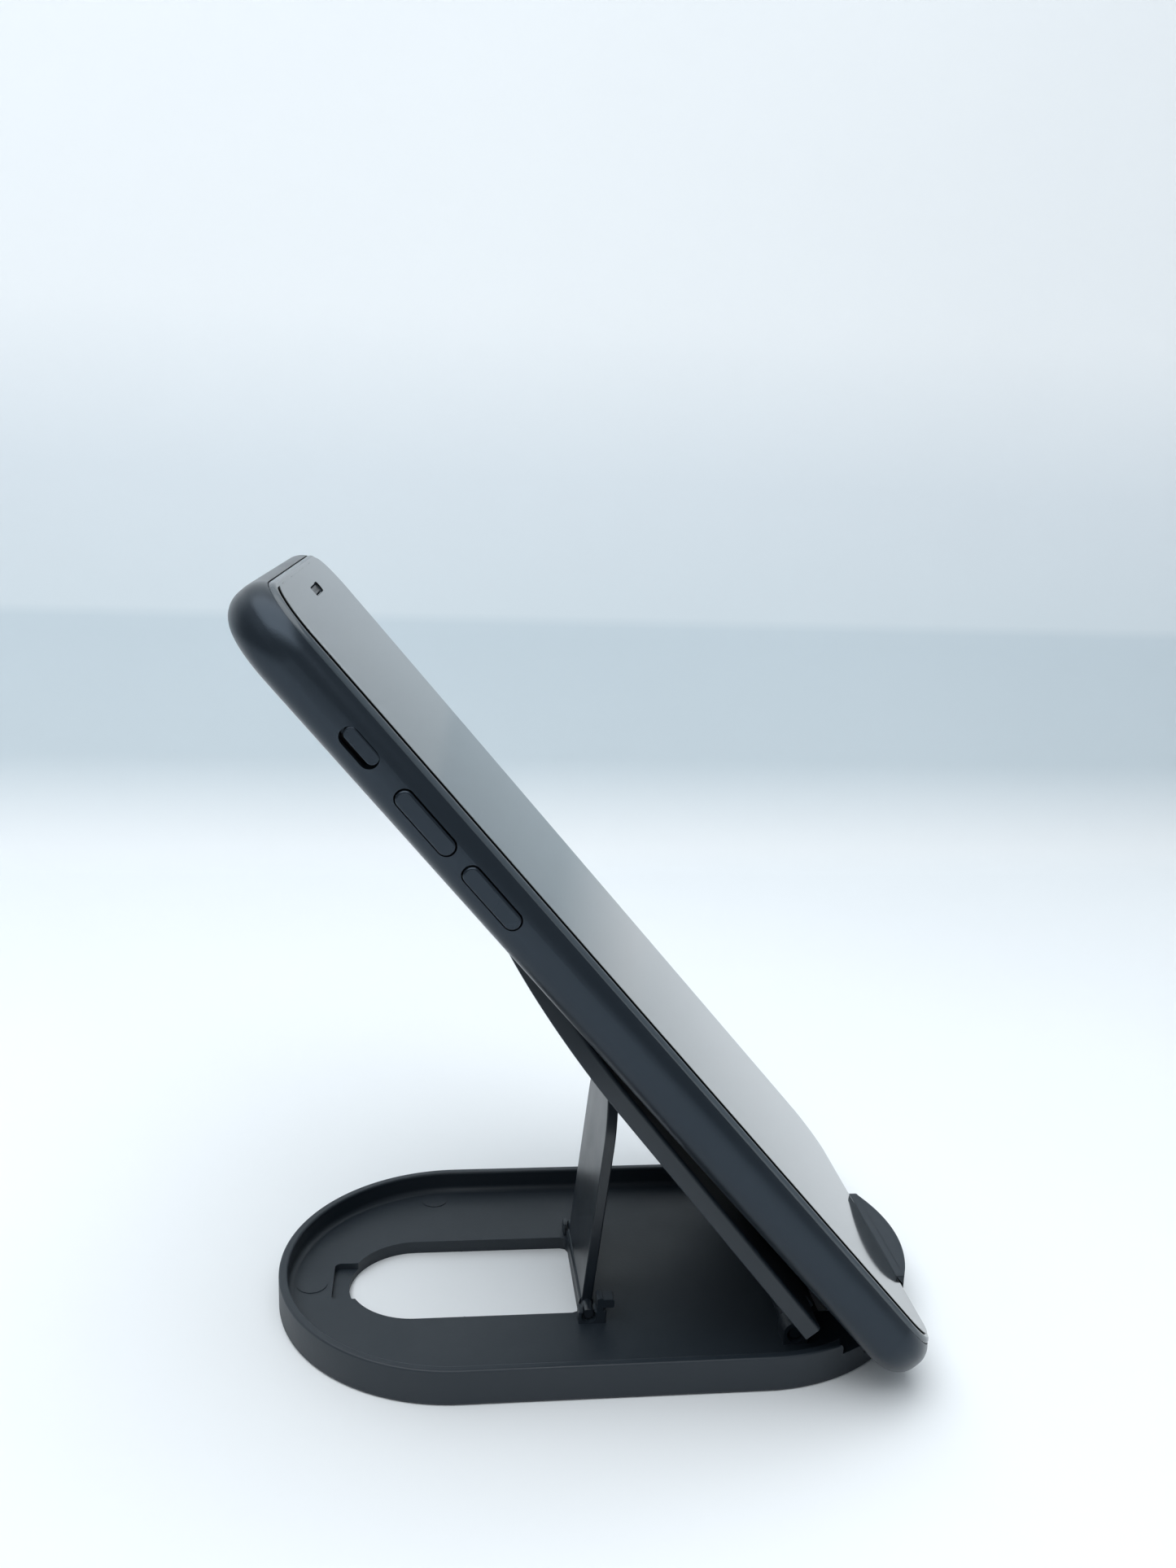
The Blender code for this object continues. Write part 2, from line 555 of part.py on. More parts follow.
def build_front():
    """The cover glass, its film, the earpiece mesh and the display behind the glass."""
    low, high = slab_corners(GLASS_INSET, -GLASS_THICKNESS, 0.0)
    glass = phone_part(
        "front_glass", low, high, "cover_glass", corner=CORNER - GLASS_INSET, corner_segments=6,
        high_edge=0.7 * MM, edge_segments=3,
    )
    half_width = EARPIECE_WIDTH / 2
    half_height = EARPIECE_HEIGHT / 2
    slot = phone_cutter(
        "earpiece_slot", (-3 * MM, -half_width, EARPIECE_Z - half_height),
        (3 * MM, half_width, EARPIECE_Z + half_height), corner=half_height * 0.9, corner_segments=3,
    )
    combine(glass, slot)
    film_back = PROTECTOR_GAP
    low, high = slab_corners(PROTECTOR_INSET, film_back, film_back + PROTECTOR_THICKNESS)
    film = phone_part(
        "screen_protector", low, high, "clear_film", corner=CORNER - PROTECTOR_INSET, corner_segments=6
    )
    margin = 0.8 * MM
    window = phone_cutter(
        "film_earpiece_slot", (-3 * MM, -half_width - margin, EARPIECE_Z - half_height - margin),
        (3 * MM, half_width + margin, EARPIECE_Z + half_height + margin), corner=half_height,
        corner_segments=3,
    )
    combine(film, window)
    gap = KEY_GAP
    phone_part(
        "earpiece_mesh", (-0.6 * MM, -half_width + gap, EARPIECE_Z - half_height + gap),
        (-0.1 * MM, half_width - gap, EARPIECE_Z + half_height - gap), "fine_mesh",
        corner=half_height * 0.6, corner_segments=3,
    )
    phone_part(
        "display_panel", (-2.4 * MM, -29.3 * MM, 17.5 * MM), (-1.4 * MM, 29.3 * MM, 121.0 * MM), "display",
        corner=1.0 * MM, corner_segments=2,
    )
    phone_part(
        "display_back_plate", (-2.8 * MM, -29.0 * MM, 17.8 * MM), (-2.6 * MM, 29.0 * MM, 120.7 * MM),
        "steel_sheet", corner=1.0 * MM, corner_segments=2,
    )


def build_insides():
    """The battery, the board and the modules around them."""
    boxes = {
        "battery": ((-6.2, -28.0, 22.0), (-3.1, 9.0, 112.0), "battery_wrap", 0.8),
        "logic_board": ((-3.6, 11.0, 30.0), (-3.0, 27.6, 119.0), "circuit_board", 1.2),
        "processor_shield": ((-5.0, 12.0, 88.0), (-3.75, 26.8, 115.0), "steel_sheet", 0.6),
        "radio_shield": ((-5.0, 12.0, 34.0), (-3.75, 26.8, 60.0), "steel_sheet", 0.6),
        "flash_module": ((-5.2, 12.4, 125.4), (-4.2, 16.0, 129.0), "component_black", 0.4),
        "front_camera_module": ((-5.0, -17.0, 129.0), (-1.5, -11.4, 134.6), "component_black", 0.6),
        "earpiece_speaker": ((-4.4, -6.0, 129.4), (-1.5, 6.0, 135.2), "component_black", 0.8),
        "nfc_antenna": ((-6.1, -26.0, 122.6), (-5.6, 10.0, 126.0), "gold_contact", 0.8),
        "loudspeaker": ((-6.1, 7.5, 6.4), (-3.1, 28.6, 16.6), "component_black", 1.2),
        "vibration_motor": ((-6.1, -28.6, 8.4), (-3.1, -8.4, 16.6), "steel_sheet", 1.2),
        "microphone": ((-5.4, -27.0, 4.4), (-4.2, -23.4, 7.2), "gold_contact", 0.4),
        "volume_up_dome": ((-5.1, -29.6, 103.0), (-3.0, -28.5, 107.0), "steel_sheet", 0.5),
        "volume_down_dome": ((-5.1, -29.6, 90.9), (-3.0, -28.5, 94.9), "steel_sheet", 0.5),
        "side_button_dome": ((-5.1, 28.5, 103.0), (-3.0, 29.6, 107.0), "steel_sheet", 0.5),
        "ring_switch_body": ((-6.1, -29.6, 114.0), (-3.0, -28.5, 119.2), "component_black", 0.5),
    }
    for name, (low, high, material, corner) in boxes.items():
        phone_part(name, Vector(low) * MM, Vector(high) * MM, material, corner=corner * MM, corner_segments=2)


def build_rear_camera():
    """The rear camera, its ring and window, and the flash window."""
    back = -PHONE_THICKNESS
    half = 4.2 * MM
    camera = phone_part(
        "rear_camera_module", (-6.1 * MM, CAMERA_Y - half, CAMERA_Z - half),
        (-3.0 * MM, CAMERA_Y + half, CAMERA_Z + half), "component_black", corner=0.6 * MM, corner_segments=2,
    )
    barrel_x, barrel_depth = span(back + 0.3 * MM, -5.5 * MM)
    barrel = cylinder_mesh(CAMERA_RING_BORE - 0.4 * MM, barrel_depth, axis=0)
    place = Vector((barrel_x, CAMERA_Y, CAMERA_Z))
    combine(camera, cutter("camera_barrel", barrel, place, PHONE_POSE), "UNION")
    ring_x, ring_depth = span(back - CAMERA_BUMP, -6.35 * MM)
    bm = cylinder_mesh(CAMERA_RING_RADIUS, ring_depth, axis=0, segments=32)
    ring = part("camera_ring", bm, Vector((ring_x, CAMERA_Y, CAMERA_Z)), "key_aluminium", PHONE_POSE)
    bm = cylinder_mesh(CAMERA_RING_BORE, 2 * ring_depth, axis=0, segments=32)
    combine(ring, cutter("camera_ring_bore", bm, Vector((ring_x, CAMERA_Y, CAMERA_Z)), PHONE_POSE))
    lens_x, lens_depth = span(back - CAMERA_BUMP + 0.15 * MM, back + 0.1 * MM)
    bm = cylinder_mesh(CAMERA_RING_BORE - 0.15 * MM, lens_depth, axis=0, segments=32)
    part("camera_lens", bm, Vector((lens_x, CAMERA_Y, CAMERA_Z)), "camera_glass", PHONE_POSE)
    window_x, window_depth = span(back + 0.05 * MM, back + 1.0 * MM)
    bm = cylinder_mesh(FLASH_RADIUS, window_depth, axis=0, segments=20)
    part("flash_window", bm, Vector((window_x, FLASH_Y, CAMERA_Z)), "flash_lens", PHONE_POSE)


def build_key(name, side, z):
    """A side key: a pill that stands proud of the wall, on a flange inside it."""
    outer = PHONE_WIDTH / 2 + KEY_PROUD
    inner = PHONE_WIDTH / 2 - CAVITY_INSET - 0.4 * MM
    low_y, high_y = side_span(side, inner, outer)
    rounding = {"axis": 1, "corner": KEY_WIDTH * 0.45, "corner_segments": 4}
    rounding["low_edge" if side < 0 else "high_edge"] = 0.25 * MM
    key = phone_part(
        name, (KEY_X - KEY_WIDTH / 2, low_y, z - KEY_LENGTH / 2),
        (KEY_X + KEY_WIDTH / 2, high_y, z + KEY_LENGTH / 2), "key_aluminium", **rounding,
    )
    low_y, high_y = side_span(side, inner - FLANGE_THICKNESS, inner + MM / 10)
    half = KEY_WIDTH / 2 + 0.45 * MM
    reach = KEY_LENGTH / 2 + 1.0 * MM
    flange = phone_cutter(
        f"{name}_flange", (KEY_X - half, low_y, z - reach), (KEY_X + half, high_y, z + reach)
    )
    combine(key, flange, "UNION")


def build_ring_switch():
    """The ring switch lever, at the screen side of its slot, on a flange inside the wall."""
    outer = PHONE_WIDTH / 2 + 0.05 * MM
    inner = PHONE_WIDTH / 2 - CAVITY_INSET - 0.4 * MM
    x = KEY_X + RING_LEVER_OFFSET
    half = RING_LEVER_WIDTH / 2
    reach = RING_SLOT_LENGTH / 2 - KEY_GAP
    lever = phone_part(
        "ring_switch", (x - half, -outer, RING_SWITCH_Z - reach), (x + half, -inner, RING_SWITCH_Z + reach),
        "key_aluminium", axis=1, corner=half * 0.9, corner_segments=3, low_edge=0.15 * MM,
    )
    flange = phone_cutter(
        "ring_switch_flange", (x - half - 0.4 * MM, -inner - MM / 10, RING_SWITCH_Z - reach - 0.5 * MM),
        (x + half + 0.4 * MM, -inner + FLANGE_THICKNESS, RING_SWITCH_Z + reach + 0.5 * MM),
    )
    combine(lever, flange, "UNION")


def build_sim_tray():
    """The card tray: an outer face, a carrier behind it with a seat, and the card in the seat."""
    face_y = PHONE_WIDTH / 2 - 0.1 * MM
    half_face = SIM_FACE_WIDTH / 2
    tray = phone_part(
        "sim_tray", (KEY_X - half_face, face_y - 1.5 * MM, SIM_Z - SIM_FACE_LENGTH / 2),
        (KEY_X + half_face, face_y, SIM_Z + SIM_FACE_LENGTH / 2), "key_aluminium", axis=1,
        corner=half_face * 0.9, corner_segments=3,
    )
    carrier_half = 6.6 * MM
    carrier = phone_cutter(
        "sim_carrier", (KEY_X - 0.95 * MM, 18.0 * MM, SIM_Z - carrier_half),
        (KEY_X + 0.0 * MM, face_y - MM, SIM_Z + carrier_half),
    )
    combine(tray, carrier, "UNION")
    seat = phone_cutter(
        "sim_seat", (KEY_X - 0.95 * MM + 0.2 * MM, 19.0 * MM, SIM_Z - 5.0 * MM),
        (KEY_X + MM, 31.6 * MM - 2.0 * MM, SIM_Z + 5.0 * MM),
    )
    combine(tray, seat)
    pin_hole = cylinder_mesh(0.45 * MM, 6 * MM, axis=1, segments=8)
    place = Vector((KEY_X, PHONE_WIDTH / 2, SIM_Z + SIM_FACE_LENGTH / 2 - 1.0 * MM))
    combine(tray, cutter("sim_pin_hole", pin_hole, place, PHONE_POSE))
    phone_part(
        "sim_card", (KEY_X - 0.55 * MM, 19.3 * MM, SIM_Z - 4.4 * MM),
        (KEY_X - 0.05 * MM, 29.3 * MM, SIM_Z + 4.4 * MM), "gold_contact", corner=0.8 * MM, corner_segments=2,
    )


def build_bottom():
    """The charging port's shell and the two screws beside it."""
    half = PORT_HEIGHT / 2 + KEY_GAP
    port = phone_part(
        "charging_port", (PORT_X - half, -PORT_HALF_WIDTH - KEY_GAP, 0.6 * MM),
        (PORT_X + half, PORT_HALF_WIDTH + KEY_GAP, 8.0 * MM), "steel_sheet", axis=2, corner=half * 0.9,
        corner_segments=4,
    )
    mouth_half = PORT_HEIGHT / 2 - KEY_GAP
    mouth = phone_cutter(
        "port_mouth", (PORT_X - mouth_half, -PORT_HALF_WIDTH + KEY_GAP, -2 * MM),
        (PORT_X + mouth_half, PORT_HALF_WIDTH - KEY_GAP, 7.0 * MM), axis=2, corner=mouth_half * 0.9,
        corner_segments=4,
    )
    combine(port, mouth)
    for name, side in (("bottom_screw_left", -1), ("bottom_screw_right", 1)):
        bm = cylinder_mesh(0.78 * MM, 4.0 * MM, segments=12)
        part(name, bm, Vector((PORT_X, side * PORT_SCREW_Y, 2.5 * MM)), "component_black", PHONE_POSE)


def build_phone():
    """Build the phone upright, then lean it back onto the stand."""
    build_housing()
    build_front()
    build_insides()
    build_rear_camera()
    build_key("volume_up_button", -1, VOLUME_UP_Z)
    build_key("volume_down_button", -1, VOLUME_DOWN_Z)
    build_key("side_button", 1, VOLUME_UP_Z)
    build_ring_switch()
    build_sim_tray()
    build_bottom()
    PHONE_POSE.location = PHONE_FOOT
    PHONE_POSE.rotation_euler.y = PHONE_SLOPE - math.pi / 2


build_tray()
build_plate()
build_leg()
build_phone()
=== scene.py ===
"""Looks for a smartphone leaning on a small folding desk stand, as a shop takes card payments with.

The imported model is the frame. Each piece below takes its place from the frame's nodes and joints, and
stands for the node whose shape it refines. Metres, +Z up. The screen faces +X, and the keys are on -Y.
"""

import json
import logging
import math
from collections.abc import Callable, Iterator
from contextlib import contextmanager
from dataclasses import dataclass, field
from enum import Enum

import bmesh
import bpy
from mathutils import Matrix, Vector

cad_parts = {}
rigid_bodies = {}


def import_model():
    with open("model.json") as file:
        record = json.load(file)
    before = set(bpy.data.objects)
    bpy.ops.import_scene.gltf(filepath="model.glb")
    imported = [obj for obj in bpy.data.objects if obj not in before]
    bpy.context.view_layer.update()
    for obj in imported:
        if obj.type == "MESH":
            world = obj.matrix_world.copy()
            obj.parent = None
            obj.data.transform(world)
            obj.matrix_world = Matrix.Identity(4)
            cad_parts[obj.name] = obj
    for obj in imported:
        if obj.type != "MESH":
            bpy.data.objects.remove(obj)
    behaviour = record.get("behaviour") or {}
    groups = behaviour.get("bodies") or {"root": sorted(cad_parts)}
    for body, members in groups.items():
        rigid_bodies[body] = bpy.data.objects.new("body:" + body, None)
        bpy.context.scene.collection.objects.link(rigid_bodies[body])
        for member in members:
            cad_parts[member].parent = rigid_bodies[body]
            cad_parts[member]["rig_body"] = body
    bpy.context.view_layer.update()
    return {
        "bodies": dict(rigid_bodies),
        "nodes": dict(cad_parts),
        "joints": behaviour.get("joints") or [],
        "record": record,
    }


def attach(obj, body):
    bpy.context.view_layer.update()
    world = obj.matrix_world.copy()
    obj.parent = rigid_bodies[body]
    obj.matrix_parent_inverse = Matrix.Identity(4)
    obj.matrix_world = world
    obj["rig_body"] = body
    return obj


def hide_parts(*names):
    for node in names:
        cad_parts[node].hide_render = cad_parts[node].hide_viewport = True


LOG = logging.getLogger("phone_stand")
MM = 0.001
MERGE = 2e-6
TOUCH = 1e-6
SMOOTH_ANGLE = math.radians(32)
FLAT_WEIGHT = 100
# A Wave texture's phase runs 20 radians to a unit at scale 1, so one wave is 2 pi grains long.
WAVE_PHASE = 20
# Brushed lines run along Z, drawn out to about 33 times their width.
BRUSH_STRETCH = 0.03
# A pill's ends stop just short of a half circle, so that their two arcs don't share an edge.
ALMOST_ROUND = 0.98
X, Y, Z = 0, 1, 2

Piece = bpy.types.Object
Corner = tuple[float, float, float]


# ---- modelling ----------------------------------------------------------------------------------

class Element(Enum):
    """What an edit-mode operator works on."""

    VERTS = "VERT"
    EDGES = "EDGE"
    FACES = "FACE"


class Combine(Enum):
    """How a tool shape meets its target."""

    CUT = "DIFFERENCE"
    JOIN = "UNION"


def only(piece: Piece) -> None:
    """Select one object alone and make it active.

    Args:
        piece: The object that the next operators work on.
    """
    bpy.ops.object.select_all(action="DESELECT")
    piece.select_set(True)
    bpy.context.view_layer.objects.active = piece


@contextmanager
def editing(piece: Piece) -> Iterator[None]:
    """Hold one object in edit mode with nothing selected.

    Args:
        piece: The object to edit.
    """
    only(piece)
    bpy.ops.object.mode_set(mode="EDIT")
    bpy.ops.mesh.select_all(action="DESELECT")
    yield
    bpy.ops.object.mode_set(mode="OBJECT")


def pick(piece: Piece, element: Element, test: Callable) -> int:
    """Select the elements of the edited mesh that pass a test, and nothing else.

    Args:
        piece: The object in edit mode.
        element: Whether verts, edges or faces are tested.
        test: Takes one element and says whether it is wanted.

    Returns:
        How many were selected.
    """
    bpy.ops.mesh.select_mode(type=element.value)
    bpy.ops.mesh.select_all(action="DESELECT")
    mesh = bmesh.from_edit_mesh(piece.data)
    items = {Element.VERTS: mesh.verts, Element.EDGES: mesh.edges, Element.FACES: mesh.faces}[element]
    chosen = [item for item in items if test(item)]
    for item in chosen:
        item.select_set(True)
    bmesh.update_edit_mesh(piece.data)
    return len(chosen)


def lies_at(axis: int, value: float) -> Callable:
    """Return a test for edges or faces that lie wholly at one value of one axis."""
    return lambda item: all(abs(vert.co[axis] - value) < TOUCH for vert in item.verts)


def round_over(radius: float, segments: int) -> None:
    """Round the selected edges of the edited mesh.

    Args:
        radius: The radius of the rounding.
        segments: How many facets it has.
    """
    bpy.ops.mesh.bevel(offset=radius, segments=segments, profile=0.5, affect="EDGES", clamp_overlap=False)


def settle(piece: Piece, matrix: Matrix | None = None) -> Piece:
    """Put an object's place into its mesh, so that the object sits at the origin.

    Args:
        piece: The object to settle.
        matrix: Where to put it first, if it isn't there already.

    Returns:
        The same object.
    """
    if matrix is not None:
        piece.matrix_world = matrix
    only(piece)
    bpy.ops.object.transform_apply(location=True, rotation=True, scale=True)
    return piece


def named(name: str) -> Piece:
    """Name the object that an operator has just added, and return it."""
    piece = bpy.context.active_object
    piece.name = name
    piece.data.name = name
    return piece


def slab(
    name: str, low: Corner | Vector, high: Corner | Vector, axis: int = Z, corner: float = 0.0,
    segments: int = 8, low_edge: float = 0.0, high_edge: float = 0.0, edge_segments: int = 4,
) -> Piece:
    """Make a box, round its four edges along one axis, and then its rims at either end.

    Args:
        name: The object's name.
        low: Its lowest corner.
        high: Its highest corner.
        axis: The axis along which the rounded edges run.
        corner: The radius of those four edges.
        segments: How many facets each of them has.
        low_edge: The radius of the rim at the axis's low end.
        high_edge: The radius of the rim at its high end.
        edge_segments: How many facets the rims have.

    Returns:
        The new object, at the origin with its place in its mesh.
    """
    low, high = Vector(map(min, low, high)), Vector(map(max, low, high))
    size = high - low
    bpy.ops.mesh.primitive_cube_add(size=1.0, location=(low + high) / 2, scale=size)
    piece = settle(named(name))
    with editing(piece):
        if corner:
            half = size[axis] / 2
            pick(piece, Element.EDGES, lambda e: abs(e.verts[0].co[axis] - e.verts[1].co[axis]) > half)
            round_over(corner, segments)
            bpy.ops.mesh.select_all(action="SELECT")
            bpy.ops.mesh.remove_doubles(threshold=MERGE)
        for value, radius in ((low[axis], low_edge), (high[axis], high_edge)):
            if radius:
                pick(piece, Element.EDGES, lies_at(axis, value))
                round_over(radius, edge_segments)
    return piece


def disc(
    name: str, centre: Vector, radius: float, depth: float, axis: int = X, sides: int = 64,
    low_edge: float = 0.0, high_edge: float = 0.0, edge_segments: int = 3,
) -> Piece:
    """Make a round plug along one axis, with its rims rounded.

    Args:
        name: The object's name.
        centre: Its middle.
        radius: Its radius.
        depth: Its length along the axis.
        axis: The axis that it runs along.
        sides: How many facets it has round it.
        low_edge: The radius of the rim at the axis's low end.
        high_edge: The radius of the rim at its high end.
        edge_segments: How many facets the rims have.

    Returns:
        The new object, at the origin with its place in its mesh.
    """
    turn = {X: (0, math.pi / 2, 0), Y: (math.pi / 2, 0, 0), Z: (0, 0, 0)}[axis]
    bpy.ops.mesh.primitive_cylinder_add(
        vertices=sides, radius=radius, depth=depth, location=centre, rotation=turn
    )
    piece = settle(named(name))
    ends = ((centre[axis] - depth / 2, low_edge), (centre[axis] + depth / 2, high_edge))
    with editing(piece):
        for value, rounding in ends:
            if rounding:
                pick(piece, Element.EDGES, lies_at(axis, value))
                round_over(rounding, edge_segments)
    return piece


def combine(target: Piece, tool: Piece, how: Combine = Combine.CUT, solver: str = "EXACT") -> None:
    """Cut a tool shape from a target or join it on, and remove the tool.

    Args:
        target: The object that is changed.
        tool: The other shape, which is used up.
        how: What is done with it.
        solver: Which of the Boolean modifier's solvers does it.
    """
    modifier = target.modifiers.new(tool.name, "BOOLEAN")
    modifier.operation = how.value
    modifier.object = tool
    modifier.solver = solver
    only(target)
    bpy.ops.object.modifier_apply(modifier=modifier.name)
    bpy.data.objects.remove(tool)


def drop_slivers(piece: Piece) -> None:
    """Delete the flat specks that cutting leaves apart from a piece's own shell.

    Args:
        piece: The object, whose largest connected stretch of mesh is kept.
    """
    with editing(piece):
        mesh = bmesh.from_edit_mesh(piece.data)
        loose, stretches = set(mesh.verts), []
        while loose:
            reached = [loose.pop()]
            for vert in reached:
                fresh = [edge.other_vert(vert) for edge in vert.link_edges]
                fresh = [other for other in fresh if other in loose]
                loose.difference_update(fresh)
                reached.extend(fresh)
            stretches.append(reached)
        kept = set(max(stretches, key=len))
        pick(piece, Element.VERTS, lambda vert: vert not in kept)
        bpy.ops.mesh.delete(type="VERT")


def smooth(piece: Piece, angle: float = SMOOTH_ANGLE) -> Piece:
    """Shade a piece smooth up to an angle, its broad flats the flattest, and return it."""
    only(piece)
    bpy.ops.object.shade_smooth_by_angle(angle=angle)
    weighted = piece.modifiers.new("even_flats", "WEIGHTED_NORMAL")
    weighted.keep_sharp = True
    weighted.weight = FLAT_WEIGHT
    bpy.ops.object.modifier_apply(modifier=weighted.name)
    return piece


def hollow(piece: Piece, face_at: float, wall: float, floor_at: float) -> None:
    """Sink a pocket into the flat face at one height, leaving a wall all round it.

    Args:
        piece: The object to sink it into.
        face_at: The height of the face.
        wall: The width of the wall left round the pocket.
        floor_at: The height of the pocket's floor.
    """
    with editing(piece):
        pick(piece, Element.FACES, lies_at(Z, face_at))
        bpy.ops.mesh.inset(thickness=wall, use_even_offset=True)
        bpy.ops.mesh.extrude_region_move(TRANSFORM_OT_translate={"value": (0, 0, floor_at - face_at)})


def round_level(piece: Piece, level: float, radius: float, segments: int) -> None:
    """Round every edge that lies at one height.

    Args:
        piece: The object whose edges they are.
        level: Their height.
        radius: The radius of the rounding.
        segments: How many facets it has.
    """
    with editing(piece):
        pick(piece, Element.EDGES, lies_at(Z, level))
        round_over(radius, segments)


@dataclass(frozen=True)
class TiltedFrame:
    """A frame turned about Y, in which a leaning part stands upright or lies flat."""

    origin: Vector
    turn: float

    @property
    def matrix(self) -> Matrix:
        """Return the matrix from this frame to the world."""
        return Matrix.Translation(self.origin) @ Matrix.Rotation(self.turn, 4, "Y")

    def box(self, node: Piece) -> tuple[Vector, Vector]:
        """Return a node's lowest and highest corners in this frame.

        Args:
            node: A CAD node, whose place is in its mesh.
        """
        back = self.matrix.inverted()
        points = [back @ vert.co for vert in node.data.vertices]
        return (
            Vector(min(point[axis] for point in points) for axis in (X, Y, Z)),
            Vector(max(point[axis] for point in points) for axis in (X, Y, Z)),
        )


# ---- finishes -----------------------------------------------------------------------------------

def linear(colour: str) -> tuple[float, float, float, float]:
    """Turn an sRGB hex value into a linear colour.

    Args:
        colour: Six hex digits after a #.
    """
    parts = [int(colour[start:start + 2], 16) / 255 for start in (1, 3, 5)]
    return (*(part / 12.92 if part <= 0.04045 else ((part + 0.055) / 1.055) ** 2.4 for part in parts), 1.0)


def add_node(
    tree: bpy.types.NodeTree, kind: str, inputs: dict | None = None, **settings: object
) -> bpy.types.Node:
    """Add a node, set its properties, and fill or link its sockets.

    Args:
        tree: The node tree.
        kind: The node's type.
        inputs: Sockets by name or number, each with a value or with the output that feeds it.
        settings: The node's own properties.

    Returns:
        The new node.
    """
    node = tree.nodes.new(kind)
    for key, value in settings.items():
        setattr(node, key, value)
    for socket, source in (inputs or {}).items():
        if isinstance(source, bpy.types.NodeSocket):
            tree.links.new(source, node.inputs[socket])
        else:
            node.inputs[socket].default_value = source
    return node


class Grain(Enum):
    """How a surface was made, which sets its fine relief."""

    MOULDED = "moulded against a spark-eroded tool"
    BLASTED = "bead blasted"
    BRUSHED = "rolled or brushed in one direction"
    WOVEN = "woven wire"
    POLISHED = "polished or float glass"
    TRACKED = "printed with copper tracks"
    RINGED = "turned or moulded in rings"


